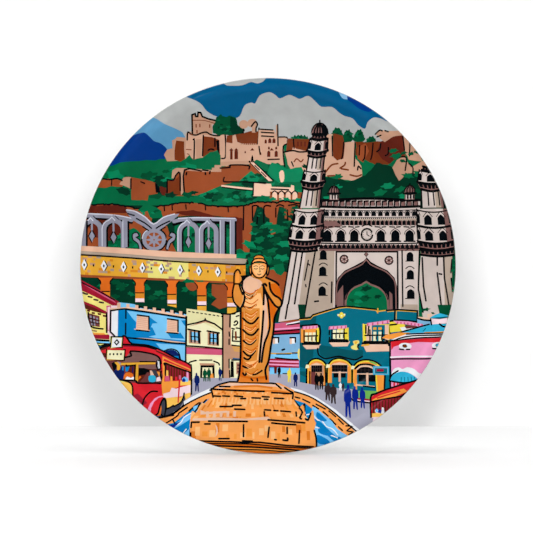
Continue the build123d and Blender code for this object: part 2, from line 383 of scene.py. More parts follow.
# the green slope and its ramparts
def drawSlope():
    tufts(("leafDark", "leafNight", "leafBright"), -82, 38, 22, 54, 46, 4.2, 21)
    fill("leafNight", wobble(at(28,49, 34,47.6, 44,46, 52,49, 58,56, 66,53.6, 70,46, 76,50, 90,48, 96,30,
        28,30), 0.5, 4, 22))
    tufts(("leaf", "leafDark", "leafBright"), 32, 36, 84, 50, 15, 3.2, 23)
    tufts(("leafDark", "leaf"), 66, 56, 84, 62, 7, 2.6, 24)
    fill("leafBright", wobble(at(2,56, 10,52.6, 18,53.6, 20,46, 6,45, 0,50), 0.5, 3, 25))
    fill("sandPale", at(6,50.6, 8,51.8, 8.8,49, 8.4,46, 6.8,45.6), 2)
    # rock and walls low on the left
    fill("brick", wobble(at(-92,42, -90,45.4, -85,47, -80,46.4, -76,45, -77.6,42.8, -83,43, -87,42), 0.3, 2,
        26))
    fill("sandDark", wobble(at(-79,44, -76.8,47.6, -73,48, -73,41.6, -76,43), 0.25, 2, 27))
    fill("brick", wobble(at(-73,47.8, -66,46.8, -60,45.6, -59,39.4, -64,38.6, -64.6,35.6, -73,36), 0.3, 3,
        28))
    fill("night", at(-60.6,45, -58.4,44.4, -57.6,40, -60,39.8))
    fill("maroon", at(-58,44.6, -55,44, -53.6,38, -56.6,38.6, -58,41))
    pen(at(-88,47, -84,46.4, -80,47, -77.6,46), 0.8)
    pen(at(-82.8,46.6, -83,43.4), 0.6)
    pen(at(-73,47, -73.2,42), 0.8)
    pen(at(-68,45.6, -66,44.8), 0.7)
    tufts(("leafNight",), -62, 43, -55, 49, 3, 3, 29)
    # the long rampart
    rampart = at(-54,46, -50,46.6, -49,50.4, -46.6,51, -45,52.4, -30,51, -25.4,53.4, -19.6,54.4, -10,54.6,
        -9.6,56.6, -3,50.6, -8,48.4, -14,46.4, -24,44, -30,41.6, -38,38.4, -44,38, -54,38.4)
    fill("brick", wobble(rampart, 0.2, 2, 30))
    fill("brown", wobble(at(-54,46, -50,46.6, -46,50, -46,38.6, -54,38.4), 0.2, 2, 31))
    fill("sandDark", at(-51.6,47.6, -51.2,51.8, -49.2,53, -45,53, -30,52, -30,53.2, -28.6,53.2, -28.6,54.6,
        -25,54.6, -25,51, -35,51, -44.8,51.8, -45,38.6, -46.6,38.6, -47,50.6, -49,50.2, -50,47.4))
    pens(0.85, at(-44.8,40, -44.6,52, -35.6,51.4), at(-47,41, -47.2,50.4, -49.4,49, -50.6,46.6, -54,46.8),
        at(-35,52, -32,51.6), at(-25.6,53, -20.4,53.4, -20,54.6, -10.6,54.4, -10.2,52.6),
        at(-10,56.6, -5,51.6, 0.6,46), at(-8,56.4, -2,51, 2.6,46.6), at(-54,46, -54,40),
        at(-43.6,50.6, -43.8,49.4), at(-33.6,50.6, -33.4,49.6), at(-31,51.4, -31.2,50))
    fill("sandPale", at(-9.4,56, -7.6,56, 2.4,46.2, 0.4,46))
    pens(0.6, at(-7,54.4, -4.6,52), at(-3.6,51, -1,48.4))
    fill("leafBright", wobble(at(-16,45.6, -9,51.6, -4.4,47.4, -6,45), 0.3, 2, 32))
    tufts(("leafDark",), -13, 46, -5, 49.6, 4, 1.6, 33)
    pen(at(-23.4,48, -23.8,46, -22,45.6, -12,45.6, -1,45), 0.8)
    fill("sandPale", at(-25,44, -8,42.2, -8,41.2, -25,43))
    pen(at(-24.6,42.8, -14,41.4, -8,40.8), 0.7)
    tufts(("leafDark", "leafNight", "leafBright"), -52, 35.6, -6, 40, 26, 3.4, 34)
    # terrace and arcade
    fill("sandPale", at(-8,45, 1.6,44.6, 2,43, 12.2,42.6, 12.4,44, 14,43.6, 14,40, 5,40.4, 4,38.6, 0,38,
        -8,38))
    pens(0.8, at(-7.8,45, -8,38.6), at(-4.8,45.2, -1.4,44.8), at(1.8,41.8, 11,41.4))
    fill("leaf", at(-5,36, -3.4,38.6, -1,38, 1,36))
    fill("brick", at(1,40.4, 18,40, 18,34, 1,35.4))
    for k in range(4):
        x = 3.6 + k * 3.6
        fill("sandPale", arch(x, 36, 2.6, 4.2, 0.2, 3))
        line(arch(x, 36.4, 3.2, 4.2, 0.2, 3)[1:-1], 0.6)
    tufts(("leafBright", "leaf"), 0, 35, 18, 36.6, 6, 2.2, 35)


def drawLongWall():
    top = wobble(at(-104,32.6, -95,33, -86,33.4, -74,32.4, -64,30.6, -57,33, -50,34, -40,34.4, -30,33,
        -20,32.4, -13,32.6, -8,34.6, 4,34.6, 10,35.4, 18,33.6), 0.35, 3, 36, False)
    fill("leafNight", at(-104,33, 18,33, 22,-30, -104,-30))
    fill("brick", top + at(18,20, 12,21, 11,26, 9,26, 8.6,32, 6,32.4, 5,28, 4,18, 1.6,17, 0.8,26, -1,27,
        -3,32, -6,32.4, -8,26, -10,8, -17,8, -17,26, -32,28, -50,27, -62,26, -66,12, -80,12, -104,10))
    fills("maroon", wobble(at(-104,33, -95,32.4, -82,33, -76,32, -72,29, -104,28), 0.3, 3, 37),
        wobble(at(-50,29.4, -40,30.6, -34,29, -26,26.4, -17,27, -13.4,26, -13.4,8, -17,8, -17,24, -30,26,
        -44,27.6), 0.3, 3, 38), wobble(at(-97,24, -88,25.6, -78,26, -74,20, -84,13, -92,16), 0.4, 3, 39))
    lines(0.8, wobble(top[3:22], 0.45, 3, 61, False), wobble(top[22:], 0.45, 3, 62, False))
    for x, z in ((-55.6, 32.6), (-51.4, 33), (-44, 33.4), (-33.6, 33), (-21.4, 32), (-60, 32)):
        pen(around(x, z, 0, 0, 0.2, -2.4), 0.7)
    pens(0.8, at(-13,32, -13.2,20), at(-8.4,32.6, -8.2,25), at(-8.4,32.6, -6.6,33, -5,32.4),
        at(-2.2,32, -1,33, 1.4,32.6), at(-2.2,32, -2.2,24), at(4.2,31.6, 4.2,26.8),
        at(4.6,32.6, 6.4,33.4, 8.4,32.6), at(10.4,30.6, 10.6,25), at(11,33, 14,33.4, 16.6,32.6),
        at(-5.6,27, -6,22))
    fill("leaf", wobble(at(-70,30.4, -66,34, -60,32, -57,30, -56,26.4, -62,26, -65,28), 0.3, 2, 40))
    tufts(("leafDark", "leafBright"), -69, 27, -58, 31, 6, 1.6, 41)
    fill("brick", wobble(at(-66,29.4, -64.6,30, -63,26, -64.6,25), 0.1, 2, 42))
    tufts(("leafDark", "leaf", "leafBright"), -8, 12, 17, 24, 30, 3.4, 43)
    tufts(("leaf", "leafDark", "leafBright"), -16, -2, 9, 13, 30, 4, 44)
    tufts(("leafDark", "leafNight"), 8, 14, 17, 32, 12, 2.6, 45)
    for x, low, high, seed in ((-9, 27, 33, 46), (5, 26, 32, 47)):
        tufts(("leaf", "leafDark"), x + 3.4, low, x + 5, high - 1.4, 3, 1.4, seed)
    fill("brick", wobble(at(-1,-2, 3,-1.4, 5,-4, 8,-2.4, 11,-3, 11,-28, 3,-28, 0,-12), 0.3, 2, 48))
    fill("leaf", wobble(at(4,-3, 7,-4.6, 9,-2, 8,2, 3,1), 0.3, 2, 49))


# ironwork sign with its board on pillars, all without letters
def drawSign():
    fill("leaf", at(-50,25, -18,25, -18,7, -50,8))
    fill("brick", at(-68,24, -54,22, -51,12, -49,8, -67,9))
    fill("leaf", wobble(at(-78,18, -72,21, -68,18, -68,10, -88,10, -85,13), 0.4, 2, 50))
    tufts(("leafDark", "leafBright", "leafNight"), -46, 9, -20, 24, 22, 2.6, 51)
    tufts(("leafBright", "leafDark"), -84, 11, -70, 18, 8, 2, 52)
    top = at(-100,27.6, -90,27.2, -80,26.6, -73,25.2)
    pen([(x, z - 1.3) for x, z in top], 1.6)
    pen(top, 2.2, "signGrey")
    pen([(x, z + 0.9) for x, z in top], 0.6, "signPale")
    pen(at(-50.4,22.8, -46,24, -38,24.2, -17.6,23.6), 1.8)
    pen(at(-50.4,24.4, -46,25.4, -38,25.8, -17.6,25.2), 1.9, "signGrey")
    pen(at(-48,26, -38,26.5, -17.6,26), 0.6, "signPale")
    # a medallion under a pair of swept wings in the middle
    drawn("signGrey", oval(-61, 14.6, 13.4, 12.4, 20), 0.8)
    fill("brick", oval(-61, 14.6, 8.6, 8, 16))
    for k in range(8):
        way = math.pi * k / 4
        tip = (-61 + 5.4 * math.cos(way), 14.6 + 5 * math.sin(way))
        fill("signGrey", [(-61 + 1.1 * math.cos(way + 1.2), 14.6 + 1.1 * math.sin(way + 1.2)), tip,
                          (-61 + 1.1 * math.cos(way - 1.2), 14.6 + 1.1 * math.sin(way - 1.2))])
    pen([(x - 0.9, z + 0.7) for x, z in oval(-61, 14.6, 10.8, 10, 16)[3:9]], 0.5, "signPale")
    for side in (-1, 1):
        x = -61 + side * 7.6
        drawn("signGrey", [(x, 9.2), (x + side * 1.2, 12.6), (x + side * 3.6, 14.4), (x + side * 4, 17.6),
            (x + side * 1.6, 18.6), (x + side * 0.4, 16.6), (x + side * 2, 16), (x, 14.4),
            (x - side * 1.4, 10)], 0.6, 2)
    fill("signGrey", at(-76,30.4, -72.4,30.2, -66,27.4, -61,23.2, -56,26.6, -47.6,28.6, -50.6,25.4,
        -54.6,22.4, -61,18.6, -67.4,22.2, -72.6,25.4), 2)
    pen(at(-75.6,30.6, -71,29.8, -65.6,26.6, -61.2,23, -56,26.6, -50,28.4), 0.6, "signPale")
    pens(0.75, at(-75,28.6, -71.6,27.6), at(-70.4,26, -66,23.6, -62.4,20.8), at(-52.6,24.6, -56.6,22.8,
        -59.8,20.8), at(-67,21.6, -64,19.6), at(-55,21.4, -57.6,19.8))
    # rows of hoops and uprights on each side
    for x, z, w, h in ((-93.4, 11.4, 9, 13), (-82.4, 10.8, 10, 14), (-42.6, 8.4, 9.6, 15),
            (-31.8, 7.6, 8.2, 15.4)):
        hoop = arch(x, z, w, h, 1.4, 5)
        line([(px + 0.9, pz - 0.4) for px, pz in hoop], 2.6)
        line(hoop, 2.5, "signGrey")
        line([(px - 0.8, pz + 0.4) for px, pz in hoop[5:]], 0.5, "signPale")
        drawn("signGrey", around(x, z, 0, 1.6, 1.8, 5, 0, 8.6, -1.8, 5), 0.6)
        line([(x, z + 8.4), (x, z + h - 0.6)], 1, "signGrey")
    for x, z in ((-98, 11.4), (-76.6, 10.6), (-24.6, 7), (-19.2, 6.8)):
        block("black", x + 0.6, z, x + 2.4, 24.6)
        block("signGrey", x - 1.2, z, x + 1.4, 25)
        block("signPale", x - 1.2, z, x - 0.8, 25)
    fill("taupe", at(-102,9.2, -50,6.8, -17,4.8, -11,4.2, -12.4,1.6, -50,2.8, -102,6.8))
    fill("ledge", at(-102,11.4, -80,10.4, -50,8.2, -17,6.8, -17,4.7, -40,4.9, -55,5.4, -80,7.3, -102,8.8))
    pen(at(-102,8, -78,6.4, -60,4.6, -40,3.9, -14,3.3), 0.5, "stoneShade")
    # board of small blocks, with a row of plain lozenges
    board = quad(at(-102,-3.8, -12,-8.2, -12,1.3, -102,6.6))
    fill("gold", onFace(board, panel(0, 0, 1, 1)))
    fill("goldDeep", onFace(board, panel(0.88, 0, 1, 1)))
    fill("straw", onFace(board, at(0.42,0, 0.66,0, 0.66,1, 0.41,1)))
    rng = random.Random(53)
    for k in range(84):
        u, row = rng.random(), rng.randrange(8)
        ink = rng.choice(("sandDark", "taupe", "goldDeep", "sandDark", "gold"))
        fill(ink, onFace(board, panel(u, row / 8, min(u + rng.uniform(0.016, 0.03), 1), (row + 1) / 8)))
    for k in range(8):
        u = 0.05 + k * 0.112
        for du, ink in ((0.006, "black"), (0, "white")):
            fill(ink, onFace(board, [(u + du, 0.22), (u + 0.017 + du, 0.5), (u + du, 0.8),
                (u - 0.017 + du, 0.5)]))
        fills("black", onFace(board, [(u, 0.4), (u + 0.006, 0.5), (u, 0.6), (u - 0.006, 0.5)]),
            onFace(board, panel(u + 0.05, 0.44, u + 0.058, 0.56)))
    pen(at(-102,6.7, -75,5, -50,3, -30,2, -12.4,1.4, -11.2,3.6))
    fill("brick", at(-102,-3.8, -12,-8.2, -12,-9.2, -102,-5.2))
    # greenery and a brick shape behind the pillars
    fill("leafNight", at(-102,-5.2, -13,-9.2, -13,-26, -102,-22))
    tufts(("leafDark", "leaf"), -100, -17, -22, -8, 34, 3, 54)
    fill("brick", wobble(at(-30,-9, -22,-9.4, -20,-14, -21,-21, -26,-22.6, -30.4,-20, -29,-18.4, -27.4,-17,
        -30,-15), 0.3, 2, 55))
    fill("brick", at(-44,-8.6, -37.6,-8.8, -38.4,-12, -41,-12.8, -43,-11.4), 2)
    for k, x in enumerate((-86.6, -68.6, -51.4, -35.4, -19.4)):
        z = -5.6 - k * 0.8
        fill("pillar", around(x, z, -3.8, 0, 3.8, 0, 2.6, -2, 2.4, -7.4, -2.4, -7.4, -2.6, -2))
        block("goldDeep", x - 2.4, z - 10.4, x + 2.4, z - 7.4)
        block("blush", x - 2.4, z - 12.4, x + 2.4, z - 10.4)
        block("gold", x - 2.4, z - 16, x + 2.4, z - 12.4)
        for level in (7.4, 12.6):
            pen(around(x, z, -2.2, -level, 2, -level), 0.6)
        for side in (-1, 1):
            pen(around(x, z, side * 3.8, -0.4, side * 2.5, -2, side * 2.4, -3.4), 0.6)
        block("leafNight", x + 2.4, z - 16, x + 2.9, z - 3.4)


# gateway with its towers
# each level is (low z, high z, half width below, half width above, kind)
def tower(axis, levels):
    for z0, z1, w0, w1, kind in levels:
        x0, x1 = axis(z0), axis(z1)
        side = [(x0 - w0, z0), (x0 + w0, z0), (x1 + w1, z1), (x1 - w1, z1)]
        face = quad(side)
        if kind == "shaft":
            fill("stone", side)
            fill("stoneShade", onFace(face, panel(0.62, 0, 1, 1)))
            fill("mauve", onFace(face, panel(0.86, 0, 1, 1)))
            for u in (0.3, 0.55, 0.8):
                line(onFace(face, [(u, 0.12), (u, 0.86)]), 0.7)
            for u in (0, 1):
                line(onFace(face, [(u, 0), (u, 1)]), 0.8)
        if kind == "arcade":
            sag = [(u, -0.16 * math.sin(math.pi * u)) for u in (0, 0.25, 0.5, 0.75, 1)]
            fill("stone", onFace(face, sag + at(1,1, 0,1)))
            fill("mauve", onFace(face, at(0.78,-0.1, 1,0, 1,1, 0.78,1)))
            count = max(3, round((w0 + w1) / 4.4))
            for k in range(count):
                u = 0.5 - 0.5 * math.cos(math.pi * (k + 0.5) / count)
                wide = 0.62 * math.sin(math.pi * (k + 0.5) / count) / count * 1.5
                lift = 0.12 - 0.14 * math.sin(math.pi * u)
                hole = [(u - wide / 2, lift), (u - wide / 2, lift + 0.42), (u - wide / 4, lift + 0.56),
                    (u, lift + 0.64), (u + wide / 4, lift + 0.56), (u + wide / 2, lift + 0.42),
                    (u + wide / 2, lift)]
                fill("night", onFace(face, hole))
                pen(onFace(face, [(u - wide * 0.62, lift + 0.5), (u, lift + 0.8),
                    (u + wide * 0.62, lift + 0.5)]), 0.35)
            for level, wide in ((0, 0.75), (0.94, 0.7)):
                pen(onFace(face, [(u, v + level) for u, v in sag]), wide)
            for u in (0, 1):
                line(onFace(face, [(u, 0), (u, 1)]), 0.7)
        if kind == "corbel":
            sag = [(u, -0.3 * math.sin(math.pi * u)) for u in (0, 0.25, 0.5, 0.75, 1)]
            fill("mauve", onFace(face, sag + at(1,1, 0,1)))
            count = max(5, round((w0 + w1) / 2.2))
            for k in range(count):
                u = (k + 0.5) / count
                lift = 0.42 - 0.3 * math.sin(math.pi * u)
                fill("night", onFace(face, [(u - 0.36 / count, lift - 0.1), (u + 0.36 / count, lift - 0.1),
                    (u + 0.42 / count, lift + 0.44), (u - 0.42 / count, lift + 0.44)]))
            for level, wide in ((0, 1.3), (0.86, 0.9), (1.04, 0.7)):
                pen(onFace(face, [(u, v + level) for u, v in sag]), wide)
        if kind == "dome":
            outline = [(u, math.sqrt(max(0, 1 - (2 * u - 1) ** 2)) if u not in (0, 1) else 0)
                for u in (0, 0.04, 0.15, 0.3, 0.5, 0.7, 0.85, 0.96, 1)]
            drawn("mauve", [(x0 - w0 + 2 * w0 * u, z0 + (z1 - z0) * v) for u, v in outline], 0.8)
            for u in (0.16, 0.34, 0.52, 0.7):
                pen([(x0 - w0 + 2 * w0 * u, z0), (x0 - w0 * 0.8 + 1.6 * w0 * u, (z0 + z1) / 2),
                    (x0 - w0 * 0.2 + 0.4 * w0 * u, z1 - 0.4)], 0.9)
            fill("night", [(x0 + w0 * 0.3, z0), (x0 + w0, z0), (x0 + w0 * 0.9, z0 + (z1 - z0) * 0.5),
                (x0 + w0 * 0.3, z1)])
            line([(x0, z1), (x0, z1 + (z1 - z0) * 0.25)], 0.7)


def drawGate():
    # middle block between the towers
    fill("stone", at(28,36, 81,36.4, 81,8, 80.4,-26, 24,-26, 26,10))
    fills("stoneShade", at(24.6,-26, 35,-26, 35.6,9, 26.6,9), at(28.6,26, 81,26, 81,23.2, 28.6,23.2),
        at(71,-20, 80,-20, 80,-26, 71,-26))
    roof = lambda x: 36.2 + 0.5 * math.cos((x - 54) / 9)
    for k in range(16):
        x = 29.2 + k * 3.25
        block("mauve", x, 32.8, x + 2, 35.4)
        line([(x - 0.5, 32.8), (x - 0.4, 35.2), (x + 1.8, 35.4)])
        line([(x + 1.9, 33), (x + 1.9, 34.4)], 0.4)
    pen([(x, roof(x)) for x in (28, 34, 40, 47, 54, 61, 68, 75, 81)], 1.4)
    pen(at(28,32.4, 54,31.8, 81,32.4), 1.3)
    pen(at(28,30.6, 54,30.2, 81,30.6), 0.4)
    for k in range(14):
        x = 31.4 + k * 3.6
        fill("night", arch(x, 27.3, 2.5, 2.6, 0, 3))
        pen([(x - 1.7, 28.8), (x - 0.9, 30), (x + 0.9, 30), (x + 1.5, 29.2)], 0.4)
    for k in range(48):
        fill("black", oval(30 + k * 1.06, 26.4 - 0.3 * math.sin(k / 15), 0.75, 0.7, 5))
    line(at(29,26.9, 54,26.5, 81,26.9), 0.3)
    for k in range(22):
        x = 30 + k * 2.34
        fill("mauve", [(x + 1.2, 22.2), (x + 2.2, 22.2), (x + 2.2, 25), (x + 1.2, 25)])
        fill("night", [(x - 0.1, 22.4), (x + 1.6, 22.4), (x + 1.6, 24.4), (x + 0.75, 25.2),
            (x - 0.1, 24.4)])
    fill("mauve", at(29,24.6, 36,24.6, 40,22, 29,20))
    for x in (31.8, 39, 46.2, 60.4, 68.2, 75.8):
        fill("night", arch(x, 14, 4.4, 5.6, 0.4, 4))
        line(arch(x, 14, 5.4, 6.3, 0.5, 4)[1:-1], 0.4)
        lines(0.7, [(x - 3, 21.6), (x - 0.4, 21.4)], [(x + 0.6, 21.4), (x + 2.6, 21.6)])
        line([(x - 2.8, 13.8), (x + 2.8, 13.8)], 0.8)
    # a plain clock face
    drawn("stone", oval(53, 17.4, 6, 6.4, 12), 0.9)
    for k in range(12):
        way = math.pi * k / 6
        fill("black", oval(53 + 2.1 * math.cos(way), 17.4 + 2.3 * math.sin(way), 0.5, 0.5, 4))
    line(at(53,19, 53,17.4, 54.2,16.6), 0.45)
    pen(at(50.4,21.8, 53,22.8, 55.6,21.8), 0.6)
    pen(at(28,12.8, 54,12.4, 81,12.8), 0.7)
    fill("mauve", at(27.4,8.6, 81,8.6, 81,9.8, 27.4,9.8))
    for k in range(22):
        x = 28.6 + k * 2.42
        fill("mauve", [(x + 0.8, 9.8), (x + 1.7, 9.8), (x + 1.7, 12), (x + 0.8, 12)])
        fill("night", [(x - 1, 9.8), (x + 0.9, 9.8), (x + 0.9, 11.4), (x, 12.4), (x - 1, 11.4)])
    line(at(28,10, 81,10), 0.5)
    # framed front with the great pointed arch
    line(at(36.4,-20, 36.6,8.2, 69.4,8.2, 69.6,-22))
    dashes(0.8, at(71.8,8.8, 72.2,-21, 34.2,-8, 34,-19))
    great = at(52.6,4.8, 50.4,2.4, 46.4,0.2, 41.4,-2.2, 37.8,-6, 36.4,-11, 36.2,-27, 69,-27, 68.8,-11,
        67.4,-6, 63.8,-2.2, 58.8,0.2, 54.8,2.4)
    drawn("night", great, 0.9)
    outer = at(36.4,-20, 36.8,-10.6, 38.2,-6.2, 41.8,-2.6, 46.6,-0.4, 50.6,1.6, 52.6,4, 54.6,1.6, 58.6,-0.4,
        63.4,-2.6, 67,-6.2, 68.4,-10.6, 68.6,-24)
    pen(outer, 0.7, "mauve", soft=2)
    fills("mauve", at(36.8,-27, 37,-14, 40.2,-9.6, 40.6,-27), at(65,-27, 65,-13, 66.6,-14.6, 66.8,-27))
    inner = at(52.6,-7.8, 50,-9.4, 46,-11, 43,-14, 41.6,-18, 41.4,-27, 64.4,-27, 64.2,-18, 62.6,-14,
        59.4,-11, 55.2,-9.4)
    fill("leaf", inner)
    tufts(("leafDark", "leafNight", "leafBright"), 43, -22, 62, -11, 12, 2.6, 61, inner)
    pen(inner[6:] + inner[:6], 1.1, "mauve", soft=2)
    pen([(x, z + 0.7) for x, z in inner[7:] + inner[:5]], 0.5, soft=2)
    for x, z in ((40.8, 4.2), (64.8, 3.6)):
        drawn("mauve", oval(x, z, 4.4, 4.4, 12), 0.6)
        for k in range(6):
            way = math.pi * k / 3
            fill("stone", oval(x + 1.2 * math.cos(way), z + 1.2 * math.sin(way), 0.7, 0.7, 5))
        fill("black", oval(x, z, 1, 1, 6))
    drawn("mauve", at(52.6,8, 53.7,6.8, 52.6,5.6, 51.5,6.8), 0.3)
    for x, levels in ((29.6, (4.4, -4.4, -15)), (76, (3.4, -6.2, -16.6))):
        for k, z in enumerate(levels):
            wide = 3.6 + 0.2 * k
            fill("night", arch(x - 0.3 * k if x < 50 else x + 0.2 * k, z, wide, 4.6, 0.2, 4))
            pen(around(x, z, -2.2, 5.4, -0.8, 6.4, 0.8, 6.4, 2.2, 5.4), 0.5)
            line([(x - wide / 2 - 0.4, z - 0.2), (x + wide / 2 + 0.2, z - 0.2)], 0.5)
    # little domes behind the battlements
    for x in (35.4, 75.6):
        block("mauve", x - 2.5, 36, x + 2.5, 39.6)
        for k in range(3):
            block("stone", x - 2 + k * 1.5, 36.2, x - 1.3 + k * 1.5, 38.8)
            block("night", x - 1.4 + k * 1.5, 36.6, x - 0.6 + k * 1.5, 38.6)
        pen([(x - 3.3, 39.4), (x, 38.9), (x + 3.3, 39.4)], 0.9)
        drawn("mauve", [(x - 2.6, 39.6), (x - 2.5, 41.6), (x - 1.3, 43.1), (x, 43.6), (x + 1.3, 43.1),
            (x + 2.5, 41.6), (x + 2.6, 39.6)], 0.7)
        for u in (-1.3, 0.1, 1.4):
            pen([(x + u, 39.8), (x + u * 1.1, 41.4), (x + u * 0.5, 42.8)], 0.6)
        line([(x, 43.4), (x, 44.6)], 0.5)
    # flared foot of each great tower
    fill("stone", at(5.6,-30, 12.6,10, 27,10, 24.6,-26, 17,-27, 13,-29.6))
    fill("stoneShade", at(15.6,-28, 20.6,10, 27,10, 26,-26, 18,-27))
    dashes(0.85, at(9.6,-28, 15.6,9, 13,-28, 18.6,9, 19.4,-26, 25.4,9, 6,-29.6, 12.4,9))
    dashes(0.7, at(19.6,-7, 21.6,3.6, 20.2,-9.4, 20.4,-10.6, 21.2,2, 22.4,1))
    line(at(25,-18.4, 27,-18.2), 0.9)
    fill("stone", at(82,10, 98.6,10, 100,-2, 97,-28, 82.6,-28, 80.6,-10))
    fill("stoneShade", at(93,8, 98.6,10, 100,-2, 97,-28, 94,-28))
    lines(0.85, at(81,9, 80.4,-12, 82.6,-24), at(82.4,5, 83,-10, 84.2,-18), at(90,9, 90,1),
        at(90,-3, 92.4,-25), at(93.2,6, 93.6,-6, 96.6,-24), at(97.6,4, 97,-3), at(97.2,-6, 98,-13))
    line(at(91,-3.6, 92.2,-3.8), 0.9)
    fill("leafDark", wobble(at(97.4,11.4, 102,12, 102,-15, 98.6,-15, 97.6,-6), 0.4, 3, 63))
    tufts(("leaf", "leafBright"), 98, -13, 100, 9, 7, 1.4, 64)
    tufts(("leaf", "leafDark"), 84, -26, 98, -22, 7, 1.8, 62)
    tower(lambda z: 19.4 + (z - 10) * 0.135, [(9, 11.4, 7, 7.6, "corbel"), (11.4, 15, 8, 9.4, "corbel"),
        (15, 22.6, 9.2, 8.8, "arcade"), (22.6, 31, 8.4, 8, "arcade"), (31.6, 43, 5.4, 4.8, "shaft"),
        (42.4, 46, 5.2, 6.8, "corbel"), (46, 52, 6.2, 5.6, "arcade"), (52, 60, 4.4, 4.2, "shaft"),
        (59.6, 62.6, 4.6, 5.9, "corbel"), (62.6, 69, 5.4, 4.8, "arcade"), (69, 71.4, 4, 4, "corbel"),
        (71.4, 77, 4.4, 3, "dome")])
    tower(lambda z: 90 - (z - 10) * 0.1, [(6.6, 9.6, 8.6, 8.6, "corbel"), (10, 14, 8.6, 9.8, "corbel"),
        (14, 22.4, 9.4, 9.2, "arcade"), (22.4, 31, 9, 8.6, "arcade"), (31.6, 42, 5.8, 5.4, "shaft"),
        (41.4, 45.4, 5.6, 7.4, "corbel"), (45.4, 51.6, 7, 5.6, "arcade"), (51.6, 53.6, 4.2, 3.6, "corbel")])


# the street
def drawRoad():
    fill("road", at(-62,-57, 92,-54, 96,-66, 70,-90, -40,-92, -62,-76))


def walker(ink, x, z, w, h, seed):                  # a small figure in one ink, feet at (x, z)
    rng = random.Random(seed)
    lean = rng.uniform(-0.12, 0.12) * w
    fill(ink, oval(x + lean, z + h * 0.92, w * 0.36, h * 0.16, 8), 2)
    fill(ink, [(x - w * 0.16 + lean, z + h * 0.86), (x - w * 0.46, z + h * 0.76),
        (x - w * 0.5, z + h * 0.48), (x - w * 0.34, z + h * 0.4), (x - w * 0.36, z), (x - w * 0.12, z),
        (x, z + h * 0.32), (x + w * 0.14, z - h * 0.02), (x + w * 0.36, z - h * 0.02),
        (x + w * 0.32, z + h * 0.4), (x + w * 0.48, z + h * 0.46), (x + w * 0.46, z + h * 0.76),
        (x + w * 0.16 + lean, z + h * 0.86)], 3)


# yellow, blue and cream houses on the left
def drawYellowHouse():
    fill("cream", at(-104,-6, -84,-16, -80,-20, -80,-40, -104,-40))
    fill("lemon", at(-102,-10, -84,-20, -84,-36.4, -104,-34))
    fill("crimson", at(-102,-5.4, -92,-10.6, -79.6,-18.6, -79.8,-20.4, -92,-13.6, -102,-9.4))
    fill("pinkRoof", at(-98,-9, -90,-12.9, -82,-18, -81,-19.4, -90,-14))
    fill("crimson", at(-102,-9, -92,-13.4, -79.8,-20.4, -82.4,-20.8, -92,-15.6, -102,-11))
    pen(at(-100,-7.6, -90,-12.8, -82,-17.6), 0.7)
    for x, z in ((-98.6, -13.6), (-96.8, -14.2), (-94.4, -15.8), (-91.4, -17.4), (-88.6, -18.8)):
        line(around(x, z, -0.9, 0.2, 1, -0.2), 0.9, "umber")
    fill("crimson", at(-102,-16.6, -92,-20.2, -84.6,-24.4, -84.6,-25.6, -92,-22.6, -102,-19.4))
    fill("maroon", at(-102,-18, -92,-21.6, -86,-25, -92,-23.6, -102,-20.6))
    for x, z in ((-95.2, -22.8), (-92.6, -24), (-89.4, -24.6), (-86.8, -25.6)):
        fill("maroon", around(x, z, -1, 0.3, 0.9, 0, 0.7, -1, -0.8, -0.7))
    # lattice window
    pane = quad(at(-94.6,-31, -89.2,-31.8, -89.4,-26, -95.4,-24.4))
    fill("busInside", onFace(pane, panel(0, 0, 1, 1)))
    for u, v in ((0.2, 0.75), (0.5, 0.75), (0.2, 0.45), (0.5, 0.42), (0.22, 0.15), (0.5, 0.14), (0.78, 0.7),
            (0.78, 0.4)):
        fill("signGrey", onFace(pane, panel(u - 0.08, v - 0.09, u + 0.08, v + 0.09)))
    pen(at(-95.4,-24.2, -94.6,-31.2, -87.6,-32.8), 0.9)
    line(onFace(pane, at(0.36,0, 0.34,1)), 0.5)
    lines(0.4, onFace(pane, at(0,0.3, 1,0.3)), onFace(pane, at(0,0.6, 1,0.6)))
    for x, z in ((-94, -33.4), (-91.8, -33.8)):
        line(around(x, z, -0.8, 0, 0.8, -0.2), 0.6, "busInside")
    fill("busOrange", at(-100,-34.8, -87,-35, -86,-36, -92,-36, -100,-35.8))
    fill("crimson", at(-100,-36, -84.2,-35.8, -84.2,-38.4, -92,-38, -100,-37.4))
    fill("black", at(-100,-37.6, -84,-38.6, -84,-42, -100,-42))
    fill("wallPale", at(-93,-39.2, -84,-39.6, -84,-40.4, -91.8,-40))
    fill("straw", at(-90.8,-40.8, -86.8,-40.6, -89,-41.6))
    # edge wall beside the blue house
    fill("blush", at(-86,-20.4, -79.8,-20.6, -79.8,-37, -84,-36.6, -86,-34))
    fill("white", at(-83.2,-22.4, -79.8,-22.2, -79.8,-37, -82,-36.6, -83.2,-34))
    fill("pinkRoof", at(-86,-20.6, -83.6,-20.4, -84.2,-33.8, -85.4,-33.8))
    fill("blush", at(-85.4,-21.4, -84,-21, -84.4,-33.4, -85,-33.4))
    lines(0.9, at(-85.8,-24.4, -85.6,-34.6), at(-83.8,-22.6, -83.8,-34.4, -81.6,-36.6))


